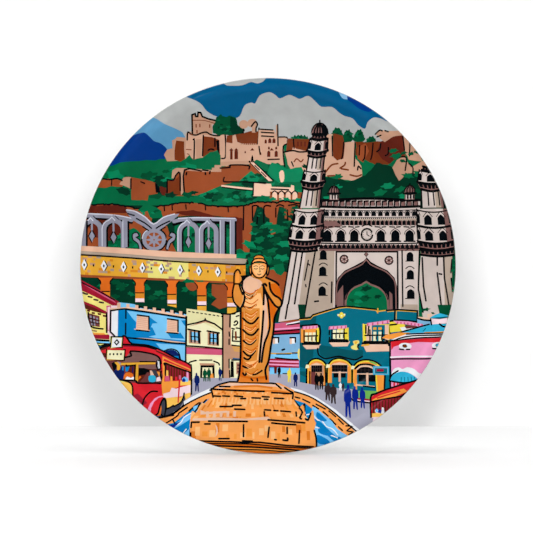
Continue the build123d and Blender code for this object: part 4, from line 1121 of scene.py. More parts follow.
def drawLeftBus():
    body = at(-96,-43, -90,-43.6, -85,-42, -77.6,-37.6, -76.6,-36.8, -73,-40.8, -66,-41.8, -62,-43, -59,-44,
        -50,-48.6, -43,-51.8, -41,-53.6, -41.2,-69, -48,-73.6, -58,-79, -70,-80, -96,-60)
    fill("busRed", body)
    # roof
    fill("maroon", at(-96,-44, -90,-43, -85,-41, -83,-41.4, -86,-43.4, -92,-45.6))
    fill("crimson", at(-77.4,-41, -72,-41.8, -64,-42.6, -61,-43.6, -66,-43, -77,-42.4))
    fill("maroon", at(-92,-45, -83.6,-46, -86,-50, -84,-52, -92,-52))
    pens(1, at(-90,-43.4, -86.4,-42, -83,-41.4), at(-77,-41.2, -70,-41.8, -65,-42.6, -62,-43.4, -60,-44))
    pen(at(-77.4,-36.8, -76,-36.8, -74.6,-38.8, -72.4,-41, -66,-41.6, -62,-42.6, -56,-45, -50,-48.4,
        -44.4,-50.8, -41.8,-52.4, -41,-54, -41,-68), 0.9, soft=2)
    fill("maroon", at(-60,-44.4, -52,-48, -47.6,-50.2, -48.4,-50.4, -54,-48, -60,-45.2))
    fill("busOrange", at(-56.4,-47.6, -52,-50, -44,-53.4, -41.4,-54.6, -41.4,-56.2, -44,-55.6, -52,-52.4,
        -56.6,-51.4))
    fill("busRed", at(-55.6,-49, -50,-51.6, -43.6,-54.4, -41.6,-55.2, -41.6,-55.6, -44,-55, -50,-52.4,
        -56,-50.2))
    # windscreen
    glass = at(-73,-44.6, -66,-45.4, -60,-47.2, -58,-48.6, -57,-50.4, -57.4,-55, -56,-58, -56.4,-61,
        -58,-61.8, -69,-61.4, -80,-60, -90,-50, -86,-49.6, -76,-48, -73.4,-47)
    fill("pinkRoof", at(-90,-48, -84,-48, -84,-56, -90,-56))
    fill("busInside", glass, 2)
    fill("maroon", at(-69,-54, -62,-53.4, -57.4,-56, -57,-61, -69,-61.2))
    fills("mauve", at(-75.8,-48, -73,-45, -66,-45.8, -60,-47.6, -57.6,-50, -60,-50.4, -77,-50.6),
        at(-68.8,-52.2, -60,-52.2, -58,-54.4, -62,-54.6, -68.8,-53.6))
    pen(at(-76,-48, -72.8,-47.2, -73.2,-44.8, -66,-45.6, -60,-47.2, -57.8,-49.2, -57.2,-51.6), 0.9)
    fill("gold", at(-78,-50.8, -60.2,-50.8, -60.2,-52, -78,-52))
    line(at(-68.2,-50.4, -60.4,-50.6), 0.7)
    # what is seen through it
    fill("navy", at(-82,-55.4, -79,-52.8, -76.6,-53, -76,-56.6, -77,-59.8, -82,-60))
    fill("black", at(-83,-51, -80.6,-49.8, -79.6,-50.8, -80.6,-54, -82,-55.4))
    fill("gold", at(-81.4,-50.6, -79.8,-50.4, -78.4,-51.8, -78.6,-54.4, -80.2,-54.6, -80,-52.2), 2)
    fill("signGrey", at(-80,-50, -78.2,-50.6, -77.8,-52.4, -78.8,-51.4))
    fills("wallBlue", at(-75.6,-52.6, -73.6,-52.6, -73.6,-55.2, -75.6,-55.4), at(-77.4,-52.6, -76.6,-52.6,
        -76.6,-55, -77.4,-54.6))
    fill("maroon", at(-73.4,-52.6, -70.6,-52.6, -70.6,-57, -74.6,-56))
    fill("navy", at(-72.2,-53, -71.6,-53, -71.6,-56, -72.2,-56))
    fill("pillar", at(-76.6,-59, -76,-56.6, -73.6,-55.8, -71.6,-57, -71.8,-58.8, -74.4,-58.2, -75.6,-60), 2)
    fill("white", at(-75.6,-59.8, -74.6,-58, -72.8,-58.8, -71.4,-58.2, -71.4,-59.8), 2)
    fill("black", at(-68.8,-53.8, -66,-53.8, -63.4,-54.8, -63,-57, -68.8,-57.6))
    fill("busInside", at(-66,-58.6, -64.4,-56, -62.6,-56.4, -62.8,-61, -68,-61))
    fill("pillar", at(-68.6,-58, -67.6,-58, -67.4,-58.8, -69,-60))
    fill("sandPale", at(-63,-55.2, -62,-55.2, -60.8,-57.6, -62.6,-57.8))
    fill("tyre", at(-62.4,-54.8, -60,-55, -57.6,-58.4, -60,-58.2, -61.4,-56.2))
    fill("aqua", at(-63.6,-58.2, -61.6,-57.6, -60,-58.4, -60,-61, -63.2,-61), 2)
    fill("blush", at(-59.4,-59, -57.8,-58.4, -57,-60.8, -59.6,-61))
    fill("busOrange", at(-59.4,-55.8, -58,-56, -57.4,-58, -58.4,-58))
    # pillars, mirror and sill
    fill("gold", at(-70.4,-51.4, -69,-51.4, -69,-60.6, -70.4,-60.8))
    line(at(-75.4,-52, -75.2,-52.6, -70.6,-52.2, -70.8,-60), 0.8)
    pen(at(-77,-60, -70.4,-60.2, -69,-61.6, -60,-61.8, -57.2,-62, -56.2,-60.6, -57.4,-57.6, -57,-55.6), 0.9)
    drawn("white", at(-59.4,-50.2, -57.8,-50, -57.4,-54.4, -58.8,-54.8, -59.6,-53), 0.9)
    fill("signGrey", at(-59.2,-50.4, -58.8,-50.4, -58.4,-54.4, -58.8,-54.4))
    fill("busYellow", at(-84,-60.4, -78,-60, -73.8,-61, -72,-63.2, -71.8,-68.4, -80,-67))
    fill("straw", at(-84,-60.4, -78,-60, -75,-60.8, -78,-61.4))
    pen(at(-79,-59.8, -75.6,-60.4, -72.8,-61.6, -71.8,-64, -71.8,-68.4), 0.9)
    fill("crimson", at(-71.6,-68, -69,-67, -64,-72, -67,-74))
    pen(at(-66.8,-73.4, -65.4,-69.4, -62.8,-66.6, -60.8,-66, -58.8,-66.2), 0.9)
    fill("rose", at(-64,-75.6, -62.6,-72.6, -60,-69.6, -57.8,-68.6, -55,-68.4, -55,-68.9, -58,-69.4,
        -60.4,-71.4, -62,-74.8, -62.2,-77))
    # side: post, windows, panels
    fill("busOrange", at(-56.6,-50, -55,-51.4, -55.2,-56, -55.4,-61.6, -56,-69, -56.8,-62, -56.2,-58.4))
    fill("maroon", at(-55,-51.6, -50,-53.2, -41.4,-56.6, -41.4,-61.4, -47,-60.4, -55,-61))
    for k in range(9):
        x, z = -54 + k * 1.42, -52.6 - k * 0.52
        fill("crimson", [(x, z), (x + 0.5, z - 0.2), (x + 0.5, -59.6), (x, -59.4)])
    for x, z, ink in ((-53.8, -56, "busYellow"), (-51.6, -59.2, "busOrange"), (-49, -59.4, "busRed"),
            (-47, -58.6, "pinkRoof"), (-43, -56.6, "rose")):
        fill(ink, [(x - 0.6, z + 0.8), (x + 0.4, z + 0.6), (x + 0.6, -61), (x - 0.7, -61)])
    fill("pinkRoof", at(-55,-58.4, -53,-58, -52.4,-61, -55,-61))
    pen(at(-55.2,-52.6, -55.2,-51.4, -50,-53.4, -41.4,-56.4), 0.9)
    line(at(-54.9,-52, -55,-57.6), 0.7)
    fill("busOrange", at(-56,-61.2, -50,-61, -47,-61, -47,-64, -50,-64.6, -52,-66.4, -55.8,-67.4))
    fill("blush", at(-55.8,-67.4, -52.4,-66.6, -51.4,-64.4, -49,-65, -47.2,-64.4, -41.4,-63, -41.4,-67.6,
        -46,-69, -55.4,-70))
    fills("busYellow", at(-46.8,-60.8, -41.4,-60.8, -41.4,-63.2, -47,-63.4), at(-55.4,-69.8, -49,-69.2,
        -46.4,-69.6, -45,-68, -41.4,-67, -41.6,-69.4, -46,-72, -50,-75, -54.6,-75.4))
    fill("wallPale", at(-46,-59.6, -44.6,-58.6, -42.8,-59.6, -42.8,-61.4, -46,-61.4))
    fill("royal", at(-46,-60.4, -45,-59.2, -44,-60.6, -44.6,-61.6, -46,-61.4))
    fill("busRed", at(-47.8,-60, -46.8,-60, -47.6,-72.4, -48.2,-72.2))
    # wheel and the dark strip under the side
    fill("tyre", at(-58,-79.6, -57,-75.6, -54,-75.6, -50,-73.8, -46.6,-72.4, -44.6,-68.4, -44,-70.4,
        -47,-75, -52,-78, -56,-81))
    drawn("tyre", at(-57,-78, -57.2,-73, -56,-70.6, -54.8,-70.2, -54.2,-72, -54.2,-75.6, -55,-79.6), 0.8)
    fill("pillar", at(-58.6,-79, -57,-78.6, -56.4,-75, -56.8,-73, -57.8,-75.6))
    pen(at(-60.4,-79, -58.4,-77.6, -57.4,-74, -56.2,-70.8, -55,-69.8, -54.2,-71.6, -54,-75), 0.9)
    pen(at(-54.4,-75.4, -52,-74.6, -50.4,-73.6, -49.8,-74, -46.6,-72.2, -45.2,-69.6, -44.8,-67.4), 0.8)
    pen(at(-60,-80.4, -52,-78.4, -46,-74.6, -44.6,-72), 0.9)
    # blank route boards
    drawn("straw", at(-83.6,-43, -77.6,-42.8, -77.2,-37.2, -83.2,-37), 0.7)
    fill("white", at(-83,-42.6, -78.2,-42.4, -77.8,-37.8, -82.6,-37.4))
    fill("black", at(-81.9,-40, -80.3,-38.2, -78.9,-40, -80.5,-41.8))
    fill("white", at(-81.1,-40, -80.4,-39.2, -79.8,-40, -80.5,-40.8))
    drawn("gold", at(-86,-49.4, -76.4,-49.6, -76,-44, -85.6,-43.6), 0.7)
    fill("creamPale", at(-85.4,-48.8, -76.8,-49.2, -76.4,-44.4, -85,-44))
    for x in (-83.8, -81.9, -80, -78.1):
        fill("black", oval(x, -46.2, 1, 1.2, 8))
    fill("busRed", at(-85.4,-43.4, -77,-43.8, -77,-44.2, -85.4,-43.9))


# fountain round the pedestal
def drawBasin():
    fill("wallBlue", at(-57,-84, -44,-77, -33,-70, 13,-68, 30,-76, 46,-90, 30,-102, -30,-102, -50,-92))
    # raised ring, left and right, with its pale kerb
    fills("white", at(-45,-71.6, -38,-68, -30,-64.4, -30,-67, -38,-71, -44.6,-74), at(12,-64.4, 18,-66,
        26,-69.6, 36,-76, 44,-82.4, 50,-87, 46,-90, 38,-83, 28,-75, 14,-68.6))
    fill("road", at(46,-80, 56,-80, 54,-88, 49,-86.6, 45,-83.4))
    fills("amber", at(-60,-80.4, -52,-78.8, -44,-73.4, -36,-69.4, -30,-67, -30,-69.6, -36,-72.6, -44,-78,
        -50,-82.6, -57,-84.4), at(13,-66.6, 22,-69.4, 32,-75.4, 41,-82.4, 48,-89, 42,-90.6, 36,-85.6,
        28,-79, 20,-73, 13,-70.6))
    pens(0.8, at(-58,-80.2, -51,-78.4, -44,-73.4, -36,-69.4, -30,-67), at(-54,-82.8, -49,-79.6,
        -47.6,-78.4), at(-47.6,-77.8, -43,-74.8), at(-56,-79.4, -50,-78.6),
        at(-42,-76.6, -37,-72.6, -36,-73.4), at(-35,-72.8, -33,-71), at(-50.4,-81, -49.4,-83), at(13,-66.4,
        22,-69.2, 32,-75.2, 41,-82.2, 47.4,-87.6), at(14.6,-69.6, 17,-70.2), at(18.6,-70.8, 22.4,-72.6),
        at(24,-74, 27,-75.8), at(25.8,-73.4, 30.6,-75.8), at(29.4,-77.2, 32,-79.4),
        at(32.6,-76.8, 36,-79.6), at(33,-80.8, 36,-83.6), at(37.4,-80.8, 40,-83.4),
        at(37.4,-84.8, 39.4,-86.6), at(41.4,-84.2, 44.4,-84.6, 42,-86.8, 45,-87.6, 43,-89))
    # water
    fills("waterPale", at(-54,-86, -48,-82.4, -44,-79.4, -40,-78.4, -41,-80.4, -44.6,-82.8, -50,-86,
        -54,-88.6), at(-46,-90, -42,-86, -41,-82, -41,-88, -42,-93), at(-40,-74.6, -37,-74, -38,-77.6),
        at(24,-74.6, 29,-78, 34,-82, 37,-86, 44,-91, 40,-92.6, 33,-87, 28,-82.4, 24,-80), at(25,-84, 30,-88,
        36,-93, 42,-94, 36,-96.6, 29,-92.4, 25,-88), at(26,-92, 31,-95.6, 30,-98, 25,-96), soft=3)
    pens(0.55, at(-52,-85.6, -46.4,-82.6, -44.6,-79.8, -40.6,-77.6), at(-45.4,-88.6, -43.4,-86),
        at(24.6,-79.4, 26.6,-81.6, 28.4,-81.4, 31,-84.6, 34.4,-86, 37,-89), at(24.8,-85, 28,-86, 32,-88.6,
        36.4,-90.4, 41,-93), at(24.6,-90, 27.4,-92, 31,-92.6, 33.4,-95), at(20.6,-79, 22.6,-78.6, 24,-79.6),
        ink="white")
    fills("water", at(26.4,-77.4, 29.6,-79.8, 31.4,-81.8, 28.6,-82, 25.8,-80), at(27,-85.6, 31,-86.4,
        34.2,-88.8, 31,-89.4, 27,-87.8), at(26,-89, 30.2,-90.6, 33,-93.2, 29.4,-94.2, 26.2,-93),
        at(37,-90, 41,-92, 45,-95, 39,-96), at(-51,-86.6, -47,-84.6, -44,-84, -46,-88), soft=3)
    fill("royal", at(-57,-84.8, -50,-83.4, -46,-81.6, -50,-85.4, -56,-88))
    pen(at(-41.4,-89.6, -41,-84, -40.4,-79, -38,-76, -36.6,-73.4))
    # splashes at the pedestal's sides
    fill("amberPale", at(-41,-78, -39.4,-77, -37.8,-79, -37.6,-76.6, -36.4,-74, -34,-73, -34,-90, -41,-90),
        2)
    fill("amber", at(14,-75, 16,-73, 17.6,-76, 19.4,-74, 20.6,-82, 23,-77.4, 24.4,-77, 24.6,-84, 23.4,-92,
        14,-94), 2)
    pens(0.85, at(13.4,-70.4, 15,-72.6, 17.6,-75, 19.6,-73.4, 19.6,-77), at(17.4,-78, 18,-79.4, 16.6,-81))
    pen(at(20,-79, 21.4,-82.4, 23,-79.4), 0.7)


def drawPedestal():
    fill("amber", at(-30,-65, -20.6,-61.4, 6,-62, 14,-66, 13.8,-70.8, 15.4,-73.8, 16.8,-75.2, 18.6,-73.6,
        19.4,-75.4, 19.8,-80.2, 21.2,-81.4, 22.8,-77.8, 24.4,-77.4, 24.8,-81.6, 25.6,-83, 24.6,-86.6,
        26,-95.4, 26,-106, -42,-106, -41,-80, -37,-76, -31,-70))
    rng = random.Random(81)
    # stone courses: left, right and height of each tier's top, the same of its foot, and its stones
    tiers = ((-29.6, 12.6, -65.6, -30.4, 13.4, -68.8, 26), (-30.6, 13.4, -69, -36, 19, -76.6, 24),
        (-37.4, 20, -77, -41, 23.4, -81.8, 18), (-41, 24, -82, -41.6, 24.4, -92, 20),
        (-41.6, 24.6, -92.4, -41.6, 24.6, -104, 16))
    for top0, top1, topZ, foot0, foot1, footZ, count in tiers:
        side = quad([(foot0, footZ), (foot1, footZ), (top1, topZ), (top0, topZ)])
        for k in range(count):
            u, v = (k + rng.uniform(-0.2, 0.2)) / count, rng.uniform(0, 0.5)
            ink = rng.choice(("amberPale", "amberDeep", "amberPale", "busOrange"))
            fill(ink, onFace(side, panel(max(u, 0), v, min(u + rng.uniform(0.3, 0.95) / count, 1),
                v + rng.uniform(0.25, 0.5))))
    # light top edges
    fills("sandPale", at(-28,-65, -21,-62, 5,-62.6, 12,-65.6, 10,-65.8, 4,-64, -20,-63.6, -27,-65.8),
        at(-36,-76.2, -33,-77.4, -22,-76.8, -22,-77.8, -36,-78.6), at(-40,-80.4, -26,-80.2, -12,-81, 0,-80,
        2,-81.6, -20,-81.8, -40,-81.6))
    lines(1.1, at(-26,-65.6, -8,-66.2, 6,-66.4, 12,-67.6), at(-18,-64, -6,-63.6, 2,-64.6), ink="amberDeep")
    # painted shade: a darker crescent low on the pedestal, on the plate's lower lip, with a lighter orange
    # stripe through it, darkens the inks there to stand in for the lip's shade
    fill("amberDeep", at(-42,-92, -10,-93, 26,-95, 26,-106, -42,-106))
    fill("robeDark", at(-42,-93, -10,-94, 24,-96, 24,-98, -10,-97.4, -42,-96))
    fill("busOrange", at(-42,-94, -12,-95.6, 14,-97, 14,-98, -12,-97.4, -42,-96))
    # fluting on the second tier and the broken drawing lines
    for k in range(22):
        x = -29 + k * 1.95
        fill("amberPale", [(x, -69.8), (x + 0.7, -69.8), (x + 0.4 + (x + 8) * 0.02, -73.6),
            (x - 0.5 + (x + 8) * 0.02, -73.4)])
    for k in range(5):
        x = -33 + k * 3.6
        fill("sandPale", [(x, -77), (x + 1.6, -77), (x + 1.4, -80), (x + 0.1, -80)])
    fill("sandPale", at(-28,-84, -27,-85, -26.6,-88, -28,-90, -27.4,-87), 2)
    pens(0.95, at(-31,-66, -29.6,-65, -26.6,-63, -20.4,-61.4), at(-30.4,-65, -29.4,-69.6), at(-20.6,-61.4,
        -15.4,-61.6, -14,-61.8, 2,-62.2, 4.6,-63, 7,-65), at(9,-64.6, 12,-66.6, 13.4,-67.4, 13.2,-70.4),
        at(-26,-63.9, -20.4,-64), at(-29.4,-65.4, -14,-66.2, -2,-66.6), at(2,-67.2, 5.4,-67.4),
        at(6,-67.4, 12.6,-67.8), at(-29,-69, -25.4,-69.2), at(-24.2,-69, -20.6,-69.2),
        at(-18,-69, -13.6,-69.4), at(-14.6,-70.4, -12,-70.4), at(-8.6,-70, -4,-70.2), at(-2,-70.8, 0,-70.8),
        at(-3,-69.4, 0.6,-69.6), at(3.4,-70.2, 8.4,-70.4), at(-19,-74, -14.4,-74),
        at(-25.6,-74.6, -19,-74.6), at(-17.8,-76, -12.4,-76.2), at(-1.8,-76.4, 1.4,-76.6),
        at(3.2,-76.8, 5.4,-76.9), at(6.8,-77, 12,-77.4), at(15,-77.6, 15.2,-79.6), at(-2,-77.4, -1.8,-79.6),
        at(-40.6,-82.4, -36.6,-82.4), at(-31.6,-82, -11,-82.4), at(0,-81.6, 11,-82.4, 19.6,-83),
        at(2,-83.2, 9,-83.8, 14.8,-84), at(-33.6,-83.4, -30.8,-83.4), at(-40.6,-82.6, -40.8,-85),
        at(-41,-88, -41.2,-91), at(-13,-84, -13,-90), at(0.6,-85.4, 0,-90.4), at(10.2,-85.4, 10.2,-88.4),
        at(10.4,-90.8, 10.4,-92, 8,-91.8), at(16.8,-87, 16.4,-93.4), at(3.6,-91.6, 4.4,-91.7),
        at(-26,-91, -20.6,-91), at(-38,-92.4, -20,-92.6, -13,-93, -4,-93, 10,-94.6, 24,-95.4),
        at(-13.4,-92.2, -8.4,-92.4), at(-30,-94.8, -10,-95.4, 4,-96.2, 16.4,-97.4),
        at(24.6,-86.8, 25.6,-91, 25.8,-95.4), at(16.8,-75.4, 18.4,-77.6, 17,-80.4, 17.8,-81),
        at(20,-81, 21.4,-81.6, 22.8,-78.2), soft=2)
    pens(0.7, at(-40,-93.6, -10,-93.8, 4,-95.2, 23,-96.2), at(-24,-96.6, -4,-97, 6,-97.8, 16,-98.4), soft=2)


def drawStatue():
    # body and robe down to the feet
    figure = at(-16,-61.6, -15.2,-55, -14.6,-40, -14.6,-26, -14,-21, -12.6,-17, -13.6,-12, -14,-7.4,
        -11,-4.6, -8,-5.6, -2,-5.4, 1,-6.8, 4.4,-8.4, 6.6,-12, 7.4,-17, 7,-20.4, 5.6,-22, 3.6,-27, 3.2,-33,
        1.6,-42, 0.4,-52, 0.6,-61.8)
    fill("robe", figure)
    fill("robeDark", at(-15,-56, -14.6,-24, -13,-24, -13.4,-40, -13,-58, -8,-59, 0,-58, 0.4,-61, -16,-61.4))
    fill("amberDeep", at(-16,-61.6, -15.6,-58.4, -10,-60, 0.6,-59.6, 0.6,-61.8))
    fill("amberPale", at(-12.6,-14.6, -4,-14, -2.6,-20, -3.4,-34, -5,-50, -7,-54, -12,-52, -13,-30))
    fill("robe", at(-12.8,-22, -4.4,-22, -4.4,-36, -6,-50, -12,-51))
    fill("robeDark", at(-2.4,-22, -1.6,-22, -3.2,-36, -4,-40))
    # far arm, bent behind the shoulder
    fill("robeDark", at(0.8,-9, 4.4,-8.6, 6.6,-12, 7.4,-17, 4.8,-15.4, 2,-13))
    fill("robe", at(-0.6,-9.4, 0.8,-8.6, 1.8,-12.4, 4.6,-15.2, 7,-17, 7.2,-20.2, 5.6,-21.4, 2,-18.4, 0,-14))
    fill("robeDark", at(-1.8,-11, 0.6,-15, 4.8,-21.4, 3.4,-27, 2.4,-30, 1,-24, 0.4,-18))
    # long folded end of the cloth
    fill("ledge", at(-1.8,-12, -0.8,-16, 0.2,-20, 1,-28, 0.6,-35, -1.4,-40, -2.8,-46, -3.2,-50.4,
        -4.6,-50.4, -4.2,-40, -2.6,-26, -2.6,-20))
    fill("amber", at(-0.6,-16, 0.4,-20, 1.2,-28, 0.6,-34, -0.4,-33, 0,-27, -0.8,-20))
    # bare chest and shoulder
    fill("ledge", at(-13.4,-8, -12,-6, -9.6,-4.8, -7.4,-6, -4.4,-7, -3,-9, -4.6,-11.4, -8,-13.6, -11.4,-14,
        -13,-12), 3)
    fill("skin", at(-12.4,-8.4, -10,-6.4, -6.6,-7.4, -5,-9, -6.4,-11.6, -10,-13.2, -12.4,-11.6), 3)
    # folds
    for z, x0, x1, dip in ((-13.4, -12.8, -6.4, 1.6), (-16.4, -12.4, -8, 0.4), (-21, -13.4, -6.6, 0.8),
            (-27.6, -13.4, -5.2, 2.4), (-33.8, -13.4, -5.2, 2.4), (-39.6, -13.2, -6.6, 1.6),
            (-45.4, -13.2, -6.8, 2), (-48.8, -12.8, -9.2, 0.6), (-53.2, -13.4, -9, 0.6),
            (-57, -13.4, -11.4, 0.8)):
        pen([(x0, z + 0.2), ((x0 * 2 + x1) / 3, z - dip * 0.9), ((x0 + x1 * 2) / 3, z - dip),
            (x1, z + 0.6)], 1.05)
    for k, z in enumerate((-12.6, -15, -18, -20.4, -23.6, -25.4, -30.8, -32, -37, -38.4, -42.8, -44, -50.8,
            -51.8, -55.4)):
        x0, x1 = -12.6 + (k % 3) * 0.3, -5.4 - (k % 2) * 0.8
        pen([(x0, z - 0.4), ((x0 + x1) / 2, z - 1.8), (x1, z + 0.6)], 0.55, "robeDark")
        pen([(x0 + 0.6, z - 1.2), ((x0 + x1) / 2, z - 2.6), (x1 - 0.4, z - 0.2)], 0.3, "amberPale")
    pen(at(-8,-57.6, -6,-57.2, -3.2,-55.4), 0.9)
    dashes(0.9, at(-9,-59.8, -8.2,-60.8, -5.8,-59.8, -5.6,-61))
    # outlines of the robe
    pens(1.15, at(-14.6,-22.4, -14.6,-36, -14.6,-46, -15.2,-56, -16.2,-61), at(6.2,-21.6, 4.6,-24.4,
        3.4,-28, 3,-34, 1.6,-42, 0.4,-50, -1.4,-55, -0.8,-60), at(-2.4,-10, -2.2,-14, -2.4,-20),
        at(-2.4,-23.6, -3,-33, -3.8,-41, -4.6,-50.8), at(-1.8,-12, -0.2,-17, 0.6,-24, 1,-31, 0,-36,
        -1.8,-40.6, -2.8,-46, -3.4,-50.8), at(-2.6,-9.4, -1.4,-12.6, 0.8,-16.4, 3.6,-20.4, 5.6,-21.6,
        7,-20.8, 7.3,-18.6, 6,-16.6, 3.4,-15, 1.4,-12.2, 0.8,-8.4), at(-1,-5.6, 2,-7, 4.4,-8.2, 5.8,-9.6),
        at(-3,-9.6, -1.6,-9, -0.8,-10))
    # near arm, raised, its hand beside the chest
    hand = at(-18.2,-8.8, -18,-4, -17.4,-2.2, -16.2,-1.4, -15.2,-2.2, -14.8,-4, -14.2,-6.6, -14.8,-9)
    fill("amberPale", at(-18.6,-10, -18.8,-15, -17.8,-19.4, -15.4,-21.6, -13.6,-19.6, -12.4,-15.4,
        -14.2,-11.4, -15.4,-9), 3)
    fills("robe", at(-18.4,-9.6, -18.6,-15, -17.4,-19, -15.4,-21.2, -13.8,-19, -13.4,-15, -15,-10), hand,
        soft=3)
    fill("busOrange", at(-17.2,-8.4, -17,-4, -16.2,-3, -15.4,-4.4, -15.6,-8.4), 2)
    pen(at(-18.2,-8.8, -18,-3.6, -16.6,-1.5, -15.4,-1.9, -14.8,-3.4), 0.9)
    line(at(-18.2,-9, -15,-9), 0.9)
    pen(at(-15,-8.8, -13.8,-7.2, -13.8,-5.6), 0.8)
    pens(0.95, at(-18.2,-9.4, -19,-14, -18.2,-18.6, -15.8,-21.4, -14.8,-22, -13.6,-20.8, -12.6,-18,
        -12.4,-15.6), at(-15.4,-9.2, -14.6,-12, -13.6,-14.6))
    pen(at(-13.4,-13.6, -12.6,-15.4, -13,-18.6, -14.6,-22), 0.9)
    fill("black", at(-14.8,-4.6, -11.4,-4.2, -9.6,-4.8, -11.6,-5.8, -13,-7.4, -13.6,-9, -14.2,-8, -14,-6))
    pen(at(-13.6,-8, -13.8,-11, -12.6,-13.6), 1)
    # head with long ears and hair piled in a knot
    fill("robe", at(-9.8,0, -9.4,-4.6, -7.6,-5.4, -1.8,-5.4, -0.6,-3.4, 0.2,0.2, -0.8,0.8, -8.6,0.8), 2)
    for side in (-1, 1):
        x = -4.7 + side * 4.7
        drawn("robe", [(x, 0.6), (x + side * 0.6, 0), (x + side * 0.5, -2.2), (x + side * 0.1, -4),
            (x - side * 0.6, -4.2), (x - side * 0.5, -1)], 0.75, 2)
    fill("amber", at(-8.6,1.8, -8.9,-0.6, -8.4,-2.8, -7.2,-4.6, -5.6,-5.6, -3.8,-5.6, -2.2,-4.6, -1,-2.8,
        -0.5,-0.6, -0.8,1.8), 3)
    fill("amberPale", at(-7.8,1.2, -8,-0.6, -7.4,-2.8, -6,-4.6, -4.7,-5, -3.4,-4.6, -2.4,-3, -2.6,1.2), 3)
    drawn("amber", at(-9,1.2, -8.4,3, -7.6,4, -7.2,5.4, -5.8,6.3, -3.8,6.4, -2.4,5.4, -2,4, -1,3, -0.4,1.4,
        -2,2.4, -4.7,2.9, -7.4,2.4), 0.8, 2)
    fill("robe", at(-7.4,4.4, -6.8,5.6, -4.8,6.2, -2.8,5.6, -2.2,4.4, -4.8,4.8), 2)
    pen(at(-7.6,4.2, -4.8,4.7, -2,4.2), 0.7)
    pen(at(-8.9,1, -8.9,-1, -8.2,-3.4, -6.6,-5.3, -4.7,-5.8, -2.8,-5.3, -1.2,-3.4, -0.5,-1, -0.5,1), 0.8)
    # calm, even face, drawn with the fewest lines
    for side in (-1, 1):
        x = -4.7 + side * 1.75
        pen([(x - side * 1, 0.3), (x, 0.75), (x + side * 1.2, 0.25)], 0.3)
        pen([(x - 0.85, -0.8), (x, -1.1), (x + 0.85, -0.8)], 0.34)
    pen(at(-4.5,0.2, -4.3,-1.8, -4.1,-2.4, -4.9,-2.6), 0.28)
    pen(at(-5.7,-3.75, -4.7,-3.95, -3.7,-3.75), 0.36)
    pen(at(-5.2,-4.45, -4.7,-4.55, -4.2,-4.45), 0.2, "robeDark")
    fill("robeDark", oval(-4.7, 1.3, 0.7, 0.7, 8))


for draw in (drawSky, drawHill, drawFort, drawSlope, drawLongWall, drawSign, drawGate, drawRoad,
        drawYellowHouse, drawBlueHouse, drawCreamHouse, drawMiddleHouse, drawTealHouse, drawArcade,
        drawPinkHouse, drawWalkers, drawRightBus, drawLeftBus, drawBasin, drawPedestal, drawStatue):
    draw()
pictureDrop = 0.7                                   # the transfer sits a touch low on the plate
lower = lambda outline: [(x, z - pictureDrop) for x, z in outline]
picture = [(ink, lower(outline), clip and lower(clip)) for ink, outline, clip in picture]
report(f"picture laid out in {len(picture)} shapes")


# the front of the plate, all in metres; heights are measured forwards from the foot ring's seat
plate = {
    "radius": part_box("plate_body")[1].x,
    "wellRadius": 0.0755,                           # flat middle
    "wellHeight": 0.00975,
    "bendRadius": 0.01375,                          # hollow bend up to the rim
    "crestLine": 0.0972,                            # radius at which the rolled lip is highest
    "crestHeight": 0.02125,
    "crestRadius": 0.00525,
    "printTurn": 51.4,                              # degrees past the top of the roll
    "printDepth": 0.00025,
    "sides": 256,
}


def rimSlope():                                     # angle at which the rim runs from bend to roll
    across = plate["crestLine"] - plate["wellRadius"]
    down = plate["wellHeight"] + plate["bendRadius"] - (plate["crestHeight"] - plate["crestRadius"])
    reach = plate["bendRadius"] + plate["crestRadius"]
    return math.asin(reach / math.hypot(across, down)) - math.atan2(down, across)


slope = rimSlope()
bendEnd = plate["wellRadius"] + plate["bendRadius"] * math.sin(slope)
crestStart = plate["crestLine"] - plate["crestRadius"] * math.sin(slope)
printEnd = plate["crestLine"] + plate["crestRadius"] * math.sin(math.radians(plate["printTurn"]))


def faceAt(r):                                      # height and lean of the printed surface at a radius
    if r <= plate["wellRadius"]:
        return plate["wellHeight"], 0.0
    if r <= bendEnd:
        lean = math.asin((r - plate["wellRadius"]) / plate["bendRadius"])
        return plate["wellHeight"] + plate["bendRadius"] * (1 - math.cos(lean)), lean
    if r <= crestStart:
        base = plate["wellHeight"] + plate["bendRadius"] * (1 - math.cos(slope))
        return base + (r - bendEnd) * math.tan(slope), slope
    lean = -math.asin(min((r - plate["crestLine"]) / plate["crestRadius"], 1))
    return plate["crestHeight"] - plate["crestRadius"] * (1 - math.cos(lean)), lean


def ringRadii():                                    # where the front is cut so that it bends smoothly
    rings = [plate["wellRadius"] + plate["bendRadius"] * math.sin(slope * k / 12) for k in range(13)]
    rings += [bendEnd + (crestStart - bendEnd) * k / 3 for k in (1, 2)]
    turn = slope + math.radians(plate["printTurn"])
    rings += [plate["crestLine"] + plate["crestRadius"] * math.sin(turn * k / 26 - slope)
        for k in range(27)]
    return rings


unit = plate["radius"] / 100                        # one unit of the picture
inkNames = list(inks)


def inside(px, pz, outline):                        # which points the outline winds round
    x0, z0 = np.array(outline).T
    x1, z1 = np.roll(x0, -1), np.roll(z0, -1)
    side = (x1 - x0) * (pz[:, None] - z0) - (px[:, None] - x0) * (z1 - z0)
    up = (z0 <= pz[:, None]) & (z1 > pz[:, None]) & (side > 0)
    down = (z0 > pz[:, None]) & (z1 <= pz[:, None]) & (side < 0)
    return up.sum(1) != down.sum(1)


def topInk(px, pz):                                 # the ink of the last shape printed over each point
    found = np.zeros(len(px), int)
    bare = np.ones(len(px), bool)
    for ink, outline, clip in reversed(picture):
        edge = np.array(outline)
        low, high = edge.min(0), edge.max(0)
        near = np.flatnonzero(bare & (px >= low[0]) & (px <= high[0]) & (pz >= low[1]) & (pz <= high[1]))
        if not len(near):
            continue
        hit = inside(px[near], pz[near], outline)
        if clip:
            hit &= inside(px[near], pz[near], clip)
        found[near[hit]] = inkNames.index(ink)
        bare[near[hit]] = False
    return found


